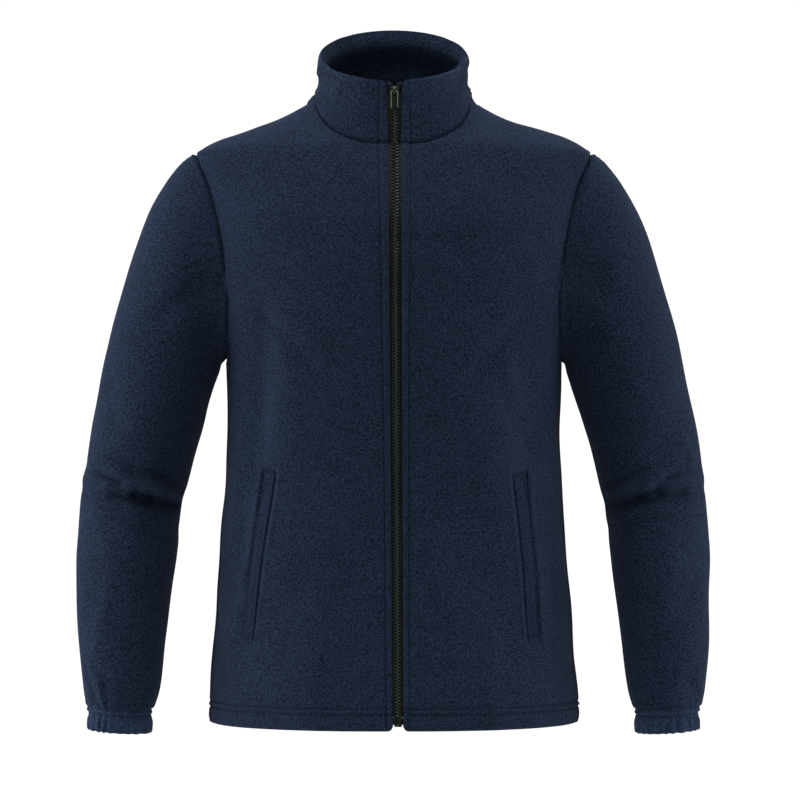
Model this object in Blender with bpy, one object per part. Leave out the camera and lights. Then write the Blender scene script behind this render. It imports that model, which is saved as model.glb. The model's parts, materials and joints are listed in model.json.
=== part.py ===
"""Fleece zip jacket, filled out as it is when worn, open at neck, hem, cuffs and armholes.

Metres. +Z up, the wearer faces -Y and the wearer's left is +X. The origin is the middle of
the neck, level with the top of the shoulders, where the wearer's shoulders hold the jacket.

Each cut piece is a grid of points on its outer face: rows run from hem to neck, or from
armhole to wrist, and columns run round the body. Pieces that are sewn together share the
points of their seam, are drawn back from it by half the seam gap, and lean their edges the
same way, so that the two walls meet face to face.
"""
import math
from collections import namedtuple

import bmesh
import bpy
import numpy as np
from mathutils import Matrix, Vector
from mathutils.kdtree import KDTree

# ---------------------------------------------------------------- driving dimensions
CLOTH = 0.0025            # one layer of fleece
DOUBLE = 0.0050           # two layers: collar, turned hem, elastic casing
TAPE = 0.0010             # woven zip tape
GAP = 0.0003              # between pieces that touch

HEM_Z = -0.7012           # lower edge of the body
HEM_TURN = 0.0200         # depth of the turned-up hem
HEM_CORNER = 0.0060       # radius where the hem meets the zip
ARMPIT_Z = -0.2935
SHOULDER_TIP_Z = -0.0616
NECK_SIDE_Z = 0.0100      # where the shoulder seam meets the collar
NECK_FRONT_Z = -0.0550    # neck seam at the zip
NECK_BACK_Z = 0.0190      # neck seam at the centre back
CHEST_Z = -0.2000         # above this height the form closes in over the shoulders
SIDE_SEAM_FORWARD = math.radians(8.0)   # the side seam swings forward towards the hem
ARMHOLE_FRONT = math.radians(17.0)      # how far the armhole cuts into the front
ARMHOLE_BACK = math.radians(14.0)       # and into the back
ARMHOLE_SCOOP = 0.25                    # it is cut deeper below its middle
ARMHOLE_ROUND = 0.85                    # 1 gives it the ends of a true oval

ZIP_TOP_X = 0.0012        # the zip leans a little to the wearer's left
ZIP_BOTTOM_X = 0.0053
OPENING_TOP = 0.0074      # half of the gap between the front edges, at the collar
OPENING_BOTTOM = 0.0059   # and at the hem
CHAIN_HALF = 0.0042       # half the width of the closed teeth
CHAIN_DEPTH = 0.0030
CHAIN_SET = 0.0010        # the teeth lie this far behind the face of the cloth
CHAIN_BOTTOM = 0.0165     # above the hem, where the box and the pin end
CHAIN_END_CELL = 0.0040   # shortest length of its first and last stretch
TAPE_COLUMNS = 3          # columns of the fronts and the collar that the tape backs

RIM_HALF_WIDTH = 0.0838   # collar's upper edge, an oval seen from above
RIM_FRONT_Y = -0.0780
RIM_BACK_Y = 0.0640
RIM_MIDDLE_Z = 0.0540     # height of the rim at the sides
RIM_SLOPE = 0.4950        # rise of the rim from front to back
RIM_CORNER = 0.0090       # radius of the collar's front corners
NECK_HALF_WIDTH = 0.0895  # oval that the neck seam's points are taken round
NECK_HALF_DEPTH = 0.0830
NECK_MIDDLE_Y = -0.0060

CUFF_TOP_Z = -0.6812      # middle of the cuff's upper edge
CUFF_HEIGHT = 0.0265
CUFF_X = 0.3083
CUFF_Y = -0.0300
CUFF_HALF_WIDTH = 0.0366
CUFF_HALF_DEPTH = 0.0400
CUFF_TILT = math.radians(2.5)
CUFF_GATHERS = 22
GATHER_POINTS = 4

SLIDER_Z = 0.0020         # middle of the slider
SLIDER_LENGTH = 0.0135
SLIDER_WIDTH = 0.0108
SLIDER_PLATE = 0.0014
SLIDER_BEVEL = 0.0003
POST_WIDTH = 0.0026       # the post that joins the slider's plates
POST_LENGTH = 0.0040
POST_Z = 0.0037           # above the slider's middle
BRIDGE_WIDTH = 0.0024     # the bridge's arch holds the pull tab
BRIDGE_HEIGHT = 0.0036
BRIDGE_LENGTH = 0.0078
BRIDGE_BAR = 0.0012
BRIDGE_SUNK = 0.0005
TAB_WIDTH = 0.0081
TAB_LENGTH = 0.0200
TAB_THICKNESS = 0.0014
TAB_BAR = 0.0014          # its top bar, which turns inside the bridge
TAB_EYE_WIDTH = 0.0042    # the hole that the bridge passes through
TAB_EYE_LENGTH = 0.0050
STOP_SIZE = (0.0022, 0.0034, 0.0032)
STOP_X = 0.0031           # either side of the chain's middle
BOX_SIZE = (0.0062, 0.0040, 0.0112)
PIN_SIZE = (0.0030, 0.0034, 0.0112)
END_BEVEL = 0.0004        # on the pull tab, the stops, the box and the pin

FLEECE = (0.012, 0.020, 0.045, 1.0)
FLEECE_DARK = (0.010, 0.016, 0.036, 1.0)
ZIP_PLASTIC = (0.008, 0.012, 0.009, 1.0)
ZIP_CLOTH = (0.006, 0.008, 0.008, 1.0)

# ---------------------------------------------------------------- tables
BodySection = namedtuple("BodySection", "z half_width front back squareness")
BODY = (
    BodySection(-0.7012, 0.2056, 0.1360, 0.1270, 2.35),
    BodySection(-0.6850, 0.2070, 0.1358, 0.1262, 2.35),
    BodySection(-0.6215, 0.2032, 0.1335, 0.1215, 2.35),
    BodySection(-0.5580, 0.1982, 0.1310, 0.1150, 2.32),
    BodySection(-0.5110, 0.1945, 0.1290, 0.1090, 2.30),
    BodySection(-0.4320, 0.1890, 0.1270, 0.1035, 2.28),
    BodySection(-0.3680, 0.1866, 0.1275, 0.1055, 2.25),
    BodySection(-0.2940, 0.1885, 0.1290, 0.1120, 2.25),
    BodySection(-0.2500, 0.1955, 0.1295, 0.1170, 2.25),
    BodySection(-0.2050, 0.2019, 0.1290, 0.1205, 2.25),
    BodySection(-0.1420, 0.2106, 0.1220, 0.1220, 2.22),
    BodySection(-0.1000, 0.2160, 0.1085, 0.1190, 2.20),
    BodySection(-0.0616, 0.2220, 0.0915, 0.1100, 2.20),
    BodySection(-0.0550, 0.2145, 0.0880, 0.1080, 2.20),
    BodySection(-0.0452, 0.1955, 0.0765, 0.1045, 2.20),
    BodySection(-0.0384, 0.1760, 0.0695, 0.1015, 2.20),
    BodySection(-0.0316, 0.1560, 0.0620, 0.0985, 2.20),
    BodySection(-0.0249, 0.1356, 0.0570, 0.0955, 2.15),
    BodySection(-0.0181, 0.1200, 0.0530, 0.0920, 2.10),
    BodySection(-0.0113, 0.1070, 0.0500, 0.0885, 2.10),
    BodySection(-0.0045, 0.0960, 0.0480, 0.0850, 2.10),
    BodySection(0.0025, 0.0908, 0.0470, 0.0815, 2.10),
    BodySection(0.0100, 0.0885, 0.0460, 0.0780, 2.10),
    BodySection(0.0190, 0.0875, 0.0450, 0.0735, 2.10),
    BodySection(0.0400, 0.0870, 0.0450, 0.0680, 2.10),
)

NeckPoint = namedtuple("NeckPoint", "x z")
NECK_SEAM_FRONT = (
    NeckPoint(0.0060, -0.0550),
    NeckPoint(0.0180, -0.0549),
    NeckPoint(0.0320, -0.0538),
    NeckPoint(0.0482, -0.0490),
    NeckPoint(0.0650, -0.0400),
    NeckPoint(0.0777, -0.0280),
    NeckPoint(0.0862, -0.0110),
    NeckPoint(0.0885, 0.0100),
)

# Outer and inner lines of the sleeve seen from the front, with its middle and half depth.
SleeveSection = namedtuple("SleeveSection", "outer_x outer_z inner_x inner_z y half_depth")
SLEEVE = (
    SleeveSection(0.2220, -0.0616, 0.1885, -0.2935, 0.0020, 0.0540),
    SleeveSection(0.2325, -0.0652, 0.1926, -0.2952, 0.0025, 0.0600),
    SleeveSection(0.2503, -0.0836, 0.1946, -0.2995, 0.0030, 0.0650),
    SleeveSection(0.2701, -0.1153, 0.1968, -0.3080, 0.0040, 0.0680),
    SleeveSection(0.2855, -0.1485, 0.2005, -0.3190, 0.0050, 0.0692),
    SleeveSection(0.3000, -0.1925, 0.2055, -0.3345, 0.0060, 0.0692),
    SleeveSection(0.3115, -0.2330, 0.2110, -0.3520, 0.0070, 0.0685),
    SleeveSection(0.3220, -0.2735, 0.2170, -0.3725, 0.0080, 0.0675),
    SleeveSection(0.3305, -0.3110, 0.2235, -0.3935, 0.0090, 0.0660),
    SleeveSection(0.3375, -0.3470, 0.2295, -0.4145, 0.0100, 0.0645),
    SleeveSection(0.3438, -0.3790, 0.2345, -0.4345, 0.0105, 0.0630),
    SleeveSection(0.3488, -0.4120, 0.2385, -0.4540, 0.0100, 0.0620),
    SleeveSection(0.3528, -0.4450, 0.2412, -0.4740, 0.0080, 0.0612),
    SleeveSection(0.3562, -0.4850, 0.2440, -0.5010, 0.0050, 0.0598),
    SleeveSection(0.3577, -0.5220, 0.2475, -0.5300, 0.0005, 0.0582),
    SleeveSection(0.3573, -0.5600, 0.2520, -0.5660, -0.0055, 0.0560),
    SleeveSection(0.3553, -0.6020, 0.2565, -0.6080, -0.0130, 0.0528),
    SleeveSection(0.3528, -0.6380, 0.2612, -0.6430, -0.0200, 0.0492),
    SleeveSection(0.3490, -0.6650, 0.2665, -0.6690, -0.0260, 0.0450),
    SleeveSection(0.3449, -0.6796, 0.2717, -0.6828, -0.0300, 0.0404),
)
SLEEVE_RINGS = (
    0.0, 0.4, 1.0, 1.7, 2.4, 3.2, 4.0, 5.0, 6.0, 7.0, 8.0, 9.0, 9.6, 10.1, 10.6, 11.0,
    11.4, 11.8, 12.1, 12.4, 12.8, 13.3, 14.0, 15.0, 16.0, 17.0, 17.7, 18.4, 19.0,
)
SLEEVE_CAP_ROWS = 3.0     # over these rows the armhole's own outline eases into an oval

# Creases of the bent elbow and slack of the sleeve. Angles go round from the outer line:
# 90 is the front, 180 the inner line, -90 the back. Depth is positive for a ridge.
SleeveFold = namedtuple("SleeveFold", "angle_a z_a angle_b z_b width depth")
SLEEVE_FOLDS = (
    SleeveFold(62, -0.4405, 150, -0.4590, 0.0075, -0.0050),
    SleeveFold(45, -0.4555, 120, -0.4690, 0.0085, 0.0032),
    SleeveFold(10, -0.4465, 80, -0.4555, 0.0060, -0.0036),
    SleeveFold(20, -0.4150, 75, -0.4310, 0.0070, -0.0036),
    SleeveFold(30, -0.4290, 120, -0.4400, 0.0080, 0.0034),
    SleeveFold(60, -0.4040, 160, -0.4440, 0.0090, -0.0026),
    SleeveFold(85, -0.4740, 165, -0.4830, 0.0090, -0.0028),
    SleeveFold(-10, -0.4340, -80, -0.4220, 0.0085, -0.0034),
    SleeveFold(-40, -0.4620, -130, -0.4520, 0.0090, -0.0032),
    SleeveFold(-150, -0.4700, -90, -0.4860, 0.0090, -0.0026),
    SleeveFold(100, -0.2000, 150, -0.2700, 0.0160, -0.0030),
    SleeveFold(-100, -0.2050, -150, -0.2800, 0.0160, -0.0030),
    SleeveFold(60, -0.5600, 120, -0.6200, 0.0180, -0.0022),
)

# Soft drape of the body cloth. Positions are seen from the front, x for the wearer's left;
# side is +1 on both fronts and -1 on the back.
BodyFold = namedtuple("BodyFold", "side x_a z_a x_b z_b width depth")
BODY_FOLDS = (
    BodyFold(1, 0.1500, -0.2600, 0.1480, -0.4200, 0.0220, -0.0045),
    BodyFold(1, 0.1150, -0.3300, 0.1300, -0.5200, 0.0260, 0.0030),
    BodyFold(1, 0.1650, -0.4600, 0.1750, -0.6200, 0.0200, -0.0035),
    BodyFold(1, 0.0700, -0.5600, 0.0900, -0.6900, 0.0300, 0.0025),
    BodyFold(-1, 0.1400, -0.2400, 0.1200, -0.4000, 0.0260, -0.0045),
    BodyFold(-1, 0.0800, -0.4200, 0.1100, -0.6200, 0.0300, 0.0035),
    BodyFold(-1, 0.0300, -0.3600, 0.0200, -0.5400, 0.0300, -0.0030),
)

# Fractions of the way from the zip to the neck side (0 to 0.5) and on to the shoulder tip.
FRONT_COLUMNS = (0.0, 0.018, 0.048, 0.12, 0.21, 0.305, 0.40, 0.50, 0.60, 0.70, 0.80, 0.90, 1.0)
BACK_COLUMNS = (0.0, 0.125, 0.25, 0.36, 0.44, 0.50, 0.60, 0.70, 0.80, 0.90, 1.0)
SIDE_ROWS = (-0.7012, -0.6972, -0.6812, -0.6400, -0.5950, -0.5500, -0.5050, -0.4600, -0.4200,
             -0.3850, -0.3500, -0.3200, -0.2935)
ARMHOLE_ROWS = 12

# How the collar's cloth stands, from its seam to its rolled rim: how far up, how far it
# swells outward, and how thick it is there as a share of its full thickness.
CollarRow = namedtuple("CollarRow", "rise swell thickness")
COLLAR_ROWS = (
    CollarRow(0.00, 0.0000, 0.50),
    CollarRow(0.16, 0.0014, 1.00),
    CollarRow(0.48, 0.0022, 1.00),
    CollarRow(0.74, 0.0018, 1.00),
    CollarRow(0.93, 0.0010, 1.00),
    CollarRow(1.00, -0.0012, 0.45),
)

CuffRow = namedtuple("CuffRow", "drop swell gather")
CUFF_ROWS = (
    CuffRow(0.00, 0.0000, 0.0003),
    CuffRow(0.24, -0.0006, 0.0008),
    CuffRow(0.55, 0.0014, 0.0017),
    CuffRow(0.88, 0.0010, 0.0016),
    CuffRow(1.00, -0.0014, 0.0010),
)

# Upper and lower end of each pocket's welt, x away from the middle. The two hang unevenly.
PocketEnd = namedtuple("PocketEnd", "inner_x outer_x z")
POCKETS = {
    "left": (PocketEnd(0.1310, 0.1469, -0.4198), PocketEnd(0.1491, 0.1623, -0.6033)),
    "right": (PocketEnd(0.1291, 0.1428, -0.4164), PocketEnd(0.1559, 0.1707, -0.6033)),
}
POCKET_RAISE = 0.0022

FOLD_FADE = 0.22           # a fold fades out over this share of its length
FOLD_SIDE_BLEND = 0.0600   # front folds fade into the back over twice this depth
ARM_RADIUS = 0.0600        # turns angles round the sleeve into distances
PATH_SAMPLES = 400


# ---------------------------------------------------------------- small maths
def column(table, name):
    return np.array([getattr(row, name) for row in table], dtype=float)


def smooth_curve(known, values, at):
    """Monotone cubic through the known values, flat where they turn."""
    known, values, at = (np.asarray(a, dtype=float) for a in (known, values, at))
    step = np.diff(known)
    slope = np.diff(values) / step
    tangent = np.empty_like(values)
    tangent[0], tangent[-1] = slope[0], slope[-1]
    same_way = slope[1:] * slope[:-1] > 0
    weight_a, weight_b = 2 * step[1:] + step[:-1], step[1:] + 2 * step[:-1]
    before = np.where(same_way, slope[:-1], 1.0)
    after = np.where(same_way, slope[1:], 1.0)
    mean = (weight_a + weight_b) / (weight_a / before + weight_b / after)
    tangent[1:-1] = np.where(same_way, mean, 0.0)
    cell = np.clip(np.searchsorted(known, at, side="right") - 1, 0, len(step) - 1)
    t = np.clip((at - known[cell]) / step[cell], 0.0, 1.0)
    width = step[cell]
    return ((1 + 2 * t) * (1 - t) ** 2 * values[cell] + t * (1 - t) ** 2 * width * tangent[cell]
            + t * t * (3 - 2 * t) * values[cell + 1] + t * t * (t - 1) * width * tangent[cell + 1])


def smooth_step(t):
    t = np.clip(t, 0.0, 1.0)
    return t * t * (3 - 2 * t)


def mix(a, b, t):
    return a + (b - a) * t


def unit(vectors):
    length = np.linalg.norm(vectors, axis=-1, keepdims=True)
    return vectors / np.maximum(length, 1e-12)


def stack(x, y, z):
    return np.stack(np.broadcast_arrays(x, y, z), axis=-1).astype(float)


def crease(across, along, width, depth):
    """Bell-shaped ridge or trough that fades out past both of its ends."""
    past_end = np.maximum(np.maximum(-along, along - 1.0), 0.0)
    return depth * np.exp(-(across / width) ** 2 - (past_end / FOLD_FADE) ** 2)


def segment_coordinates(u, v, u_a, v_a, u_b, v_b):
    """Distance across a segment, and the fraction of the way along it."""
    length = math.hypot(u_b - u_a, v_b - v_a)
    du, dv = (u_b - u_a) / length, (v_b - v_a) / length
    along = ((u - u_a) * du + (v - v_a) * dv) / length
    across = -(u - u_a) * dv + (v - v_a) * du
    return across, along


# ---------------------------------------------------------------- body form
def body_section(z):
    known = column(BODY, "z")
    return [smooth_curve(known, column(BODY, name), z)
            for name in ("half_width", "front", "back", "squareness")]


def depth_at(x, z, side):
    """Distance of the form from the shoulder line, forward (side 1) or back (side -1)."""
    half_width, front, back, squareness = body_section(z)
    share = np.clip(np.abs(x) / half_width, 0.0, 1.0)
    reach = front if side > 0 else back
    return reach * (1 - share ** squareness) ** (1 / squareness)


def at_angle(angle, z):
    """Point of the form at an angle from the centre front, 90 degrees at the side."""
    half_width, front, back, squareness = body_section(z)
    sine, cosine = np.sin(angle), np.cos(angle)
    reach = np.where(cosine >= 0, front, back)
    share = np.abs(sine / half_width) ** squareness + np.abs(cosine / reach) ** squareness
    radius = share ** (-1 / squareness)
    return stack(radius * sine, -radius * cosine, z)


def outside_by(points):
    """Positive outside the form, negative inside."""
    half_width, front, back, squareness = body_section(points[..., 2])
    reach = np.where(points[..., 1] <= 0, front, back)
    return (np.abs(points[..., 0]) / half_width) ** squareness \
        + (np.abs(points[..., 1]) / reach) ** squareness - 1.0


def onto_form(points):
    """Slides points out or in, level below the chest and fanwise above it, onto the form."""
    centre = stack(0.0, 0.0, np.minimum(points[..., 2], CHEST_Z))
    ray = points - centre
    low, high = np.full(points.shape[:-1], 0.5), np.full(points.shape[:-1], 1.6)
    for _ in range(40):
        middle = (low + high) / 2
        outside = outside_by(centre + ray * middle[..., None]) > 0
        high = np.where(outside, middle, high)
        low = np.where(outside, low, middle)
    return centre + ray * high[..., None]


def drape(points):
    """Moves points of the form out or in by the soft folds of the cloth."""
    centre = stack(0.0, 0.0, np.minimum(points[..., 2], CHEST_Z))
    amount = np.zeros(points.shape[:-1])
    for fold in BODY_FOLDS:
        across, along = segment_coordinates(np.abs(points[..., 0]), points[..., 2],
                                            fold.x_a, fold.z_a, fold.x_b, fold.z_b)
        on_side = smooth_step(0.5 - fold.side * points[..., 1] / FOLD_SIDE_BLEND)
        amount += crease(across, along, fold.width, fold.depth) * on_side
    return points + unit(points - centre) * amount[..., None]


# ---------------------------------------------------------------- seam lines of the body
SIDE_PULL = 2.0
NECK_PULL = 3.0


def zip_x(z):
    return mix(ZIP_BOTTOM_X, ZIP_TOP_X, (z - HEM_Z) / (NECK_SIDE_Z - HEM_Z))


def opening(z):
    return mix(OPENING_BOTTOM, OPENING_TOP, (z - HEM_Z) / (NECK_SIDE_Z - HEM_Z))


def front_edge(z, side):
    """Edge of one front beside the zip, in that front's own x, positive towards its side."""
    x = opening(z) + side * zip_x(z)
    return stack(x, -depth_at(x, z, 1), z)


def side_seam(z):
    forward = SIDE_SEAM_FORWARD * (ARMPIT_Z - z) / (ARMPIT_Z - HEM_Z)
    return at_angle(math.pi / 2 - forward, z)


def armhole(turn, side):
    """Armhole seam, an oval from the armpit (turn 0) to the shoulder tip (turn 1)."""
    swing = np.pi * turn
    rise = mix(turn, (1 - np.cos(swing)) / 2, ARMHOLE_ROUND)
    cut = ARMHOLE_FRONT if side > 0 else ARMHOLE_BACK
    bite = cut * np.sin(swing) * (1 + ARMHOLE_SCOOP * np.cos(swing))
    return at_angle(math.pi / 2 - side * bite, mix(ARMPIT_Z, SHOULDER_TIP_Z, rise))


def along_path(path, share):
    """Points at a share of the length of a finely sampled path."""
    length = np.concatenate([[0.0], np.cumsum(np.linalg.norm(np.diff(path, axis=0), axis=1))])
    return np.stack([np.interp(share * length[-1], length, path[:, k]) for k in range(3)], -1)


def shoulder_seam(share):
    z = np.linspace(NECK_SIDE_Z, SHOULDER_TIP_Z, PATH_SAMPLES)
    return along_path(at_angle(np.full_like(z, math.pi / 2), z), share)


def neck_seam_front(share, side):
    steps = np.linspace(0, len(NECK_SEAM_FRONT) - 1, PATH_SAMPLES)
    rows = np.arange(len(NECK_SEAM_FRONT))
    x = smooth_curve(rows, column(NECK_SEAM_FRONT, "x"), steps)
    z = smooth_curve(rows, column(NECK_SEAM_FRONT, "z"), steps)
    edge_x = front_edge(np.array(NECK_FRONT_Z), side)[0]
    x = mix(edge_x, x[-1], (x - x[0]) / (x[-1] - x[0]))
    return along_path(stack(x, -depth_at(x, z, 1), z), share)


def neck_seam_back(share):
    """From the centre back (share 0) to the neck side (share 1)."""
    angle = math.pi - np.linspace(0, math.pi / 2, PATH_SAMPLES)
    z = mix(NECK_BACK_Z, NECK_SIDE_Z, smooth_step((math.pi - angle) / (math.pi / 2)))
    return along_path(at_angle(angle, z), share)


def top_line(columns, neck):
    """Neck seam up to half way, shoulder seam beyond."""
    columns = np.asarray(columns)
    on_neck = neck(np.clip(columns * 2, 0, 1))
    on_shoulder = shoulder_seam(np.clip(columns * 2 - 1, 0, 1))
    return np.where((columns <= 0.5)[:, None], on_neck, on_shoulder)


def patch(bottom, top, left, right, columns, rows):
    """Blends four edge lines into one sheet and lays it on the body form.

    The neck and the armhole bend their own neighbourhood most: their pull on the rows and
    columns fades with powers of the distance from the hem and from the centre.
    """
    u, v = np.asarray(columns)[None, :, None], np.asarray(rows)[:, None, None]
    u, v = u ** SIDE_PULL, v ** NECK_PULL
    sheet = ((1 - v) * bottom[None] + v * top[None] + (1 - u) * left[:, None] + u * right[:, None]
             - (1 - u) * (1 - v) * bottom[0] - u * (1 - v) * bottom[-1]
             - (1 - u) * v * top[0] - u * v * top[-1])
    sheet = onto_form(sheet)
    sheet[0], sheet[-1], sheet[:, 0], sheet[:, -1] = bottom, top, left, right
    return drape(sheet)


def side_line(side):
    """Side seam and armhole as one edge, with each row's height as a share of it."""
    turns = np.linspace(0, 1, ARMHOLE_ROWS + 1)
    line = np.concatenate([side_seam(np.array(SIDE_ROWS)), armhole(turns, side)[1:]])
    return line, (line[:, 2] - HEM_Z) / (SHOULDER_TIP_Z - HEM_Z)


def middle_heights(side_heights, neck_z):
    """Heights at the zip or centre back: rows run level below the armpits and fan out above."""
    above = (side_heights - ARMPIT_Z) / (SHOULDER_TIP_Z - ARMPIT_Z)
    return np.where(above > 0, mix(ARMPIT_Z, neck_z, above), side_heights)


def front_panel(side):
    """One front, in its own x; side is +1 for the wearer's left."""
    right, rows = side_line(1)
    left = front_edge(middle_heights(right[:, 2], NECK_FRONT_Z), side)
    columns = np.array(FRONT_COLUMNS)
    start = math.atan2(left[0, 0], -left[0, 1])
    end = math.atan2(right[0, 0], -right[0, 1])
    bottom = at_angle(mix(start, end, columns), np.full_like(columns, HEM_Z))
    top = top_line(columns, lambda share: neck_seam_front(share, side))
    panel = patch(bottom, top, left, right, columns, rows)
    corner = HEM_CORNER - np.minimum(panel[0, :, 0] - panel[0, 0, 0], HEM_CORNER)
    lift = HEM_CORNER - np.sqrt(HEM_CORNER ** 2 - corner ** 2)
    lifted = panel[:, 0, 2] < HEM_Z + HEM_TURN - SAME_POINT
    share = 1 - (panel[lifted, 0, 2] - HEM_Z) / HEM_TURN
    panel[lifted, :, 2] += lift[None, :] * share[:, None]
    return panel


def back_panel():
    """The back, from the wearer's right side seam to the left one."""
    right, rows = side_line(-1)
    columns = np.array(BACK_COLUMNS)
    heights = middle_heights(right[:, 2], NECK_BACK_Z)
    left = at_angle(np.full_like(heights, math.pi), heights)
    end = math.atan2(right[0, 0], -right[0, 1])
    bottom = at_angle(mix(math.pi, end, columns), np.full_like(columns, HEM_Z))
    half = patch(bottom, top_line(columns, neck_seam_back), left, right, columns, rows)
    half[:, 0, 0] = 0.0
    return np.concatenate([half[:, :0:-1] * (-1, 1, 1), half], axis=1)


# ---------------------------------------------------------------- sleeve
def armhole_ring():
    """The armhole's points, from the shoulder tip down the front and up the back."""
    down = np.linspace(1, 0, ARMHOLE_ROWS + 1)
    front = armhole(down, 1)
    back = armhole(down[::-1], -1)
    return drape(np.concatenate([front[:-1], back[:-1]]))


def sleeve_form(at, angle):
    """Oval sections between the sleeve's outer and inner lines."""
    rows = np.arange(len(SLEEVE))
    values = {name: smooth_curve(rows, column(SLEEVE, name), at)
              for name in SleeveSection._fields}
    outer = stack(values["outer_x"], values["y"], values["outer_z"])
    inner = stack(values["inner_x"], values["y"], values["inner_z"])
    middle, arm = (outer + inner) / 2, (outer - inner) / 2
    forward = stack(0.0, -values["half_depth"], 0.0)
    return middle + arm * np.cos(angle)[..., None] + forward * np.sin(angle)[..., None], middle


def sleeve_folds(points, middle, angle):
    """Moves sleeve points towards or away from the sleeve's middle by its creases."""
    turn = (np.degrees(angle) + 180.0) % 360.0 - 180.0
    amount = np.zeros(angle.shape)
    for fold in SLEEVE_FOLDS:
        for lap in (-360.0, 0.0, 360.0):
            across, along = segment_coordinates(
                np.radians(turn + lap) * ARM_RADIUS, points[..., 2],
                math.radians(fold.angle_a) * ARM_RADIUS, fold.z_a,
                math.radians(fold.angle_b) * ARM_RADIUS, fold.z_b)
            amount += crease(across, along, fold.width, fold.depth)
    return points + unit(points - middle) * amount[..., None]


def sleeve():
    """Rings from the armhole to the wrist, for the wearer's left arm."""
    count = 2 * ARMHOLE_ROWS
    angle = np.linspace(0, 2 * math.pi, count, endpoint=False)[None, :]
    at = np.array(SLEEVE_RINGS)[:, None]
    at, angle = np.broadcast_arrays(at, angle)
    rings, middle = sleeve_form(at, angle)
    ease = 1 - smooth_step(at / SLEEVE_CAP_ROWS)
    rings = rings + (armhole_ring() - rings[0])[None] * ease[..., None]
    rings = sleeve_folds(rings, middle, angle)
    rings[0] = armhole_ring()
    return rings


# ---------------------------------------------------------------- collar and cuff
def collar(neck_line):
    """Rows from the neck seam to the rolled rim, from the right front edge round the back."""
    centre_y = (RIM_FRONT_Y + RIM_BACK_Y) / 2
    half_depth = (RIM_BACK_Y - RIM_FRONT_Y) / 2
    x, y = neck_line[:, 0], neck_line[:, 1]
    angle = np.arctan2(x / NECK_HALF_WIDTH, (NECK_MIDDLE_Y - y) / NECK_HALF_DEPTH)
    ends = [front_edge(np.array(0.0), side)[0] * side for side in (-1, 1)]
    angle[0], angle[-1] = (math.asin(end / RIM_HALF_WIDTH) for end in ends)
    rim_x = RIM_HALF_WIDTH * np.sin(angle)
    rim_y = centre_y - half_depth * np.cos(angle)
    rim_z = RIM_MIDDLE_Z + RIM_SLOPE * rim_y
    for end in (0, -1):
        inward = np.clip(RIM_CORNER - np.abs(rim_x - rim_x[end]), 0, RIM_CORNER)
        near = np.where(rim_y < centre_y, inward, 0.0)
        rim_z = rim_z - (RIM_CORNER - np.sqrt(RIM_CORNER ** 2 - near ** 2))
    rim = stack(rim_x, rim_y, rim_z)
    outward = unit(stack(np.sin(angle), -np.cos(angle), 0.0))
    rows = [mix(neck_line, rim, row.rise) + outward * row.swell for row in COLLAR_ROWS]
    return np.array(rows)


def cuff():
    """Rings of the gathered cuff and its wall, from its seam to its lower edge, left arm.

    The inner face carries half of each gather, so that the wall never folds onto itself.
    """
    count = CUFF_GATHERS * GATHER_POINTS
    angle = np.linspace(0, 2 * math.pi, count, endpoint=False)
    out = stack(math.cos(CUFF_TILT), 0.0, math.sin(CUFF_TILT))
    down = stack(math.sin(CUFF_TILT), 0.0, -math.cos(CUFF_TILT))
    top = stack(CUFF_X, CUFF_Y, CUFF_TOP_Z)
    rings, walls = [], []
    for row in CUFF_ROWS:
        gather = row.gather * np.cos(CUFF_GATHERS * angle)
        wave = row.swell + gather
        across = (CUFF_HALF_WIDTH + wave) * np.cos(angle)
        forward = (CUFF_HALF_DEPTH + wave) * np.sin(angle)
        ring = top + down * CUFF_HEIGHT * row.drop + out * across[:, None]
        rings.append(ring + stack(0.0, -forward, 0.0))
        walls.append(DOUBLE + gather / 2)
    return np.array(rings), np.array(walls)


# ---------------------------------------------------------------- cloth walls
RIM_ORDER = np.array([0.11, 0.23, 1.0])   # ranks two corners, mostly by height


class ClothPiece:
    """One cut piece: outer points, thickness, which edges are seams, and its winding."""

    def __init__(self, name, points, thickness, seams, flip=False, ring=False):
        self.name = name
        self.points = points
        self.thickness = np.broadcast_to(thickness, points.shape[:2])
        self.seams = seams
        self.flip = flip
        self.ring = ring
        self.normals = self.face_out()

    def neighbours(self, axis):
        """Difference of the points before and after, along rows or columns."""
        if axis == 1 and self.ring:
            return np.roll(self.points, -1, axis=1) - np.roll(self.points, 1, axis=1)
        return np.gradient(self.points, axis=axis)

    def face_out(self):
        normals = unit(np.cross(self.neighbours(1), self.neighbours(0)))
        return -normals if self.flip else normals

    def edge_index(self, edge):
        return {"first_row": np.s_[0, :], "last_row": np.s_[-1, :],
                "first_column": np.s_[:, 0], "last_column": np.s_[:, -1]}[edge]

    def edge_lines(self):
        """Each seam's index, the line of points next to it and the direction along it."""
        inner = {"first_row": np.s_[1, :], "last_row": np.s_[-2, :],
                 "first_column": np.s_[:, 1], "last_column": np.s_[:, -2]}
        for edge in self.seams:
            along_rows = edge.endswith("row")
            tangent = self.neighbours(1 if along_rows else 0)[self.edge_index(edge)]
            yield self.edge_index(edge), self.points[inner[edge]], unit(tangent)

    def draw_back(self):
        """Moves the points of each seam back by half the seam gap."""
        moved = self.points.copy()
        for index, inner, tangent in self.edge_lines():
            back = unit(np.cross(self.normals[index], tangent))
            inward = np.sum(back * (inner - self.points[index]), axis=-1, keepdims=True)
            moved[index] += back * np.sign(inward) * GAP / 2
        return moved


BODY_PIECES = ("front_left", "front_right", "back")
SAME_POINT = 1e-5
SHARPEST_MITRE = 0.62     # cosine beyond which a seam's mitre gets no longer


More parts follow.
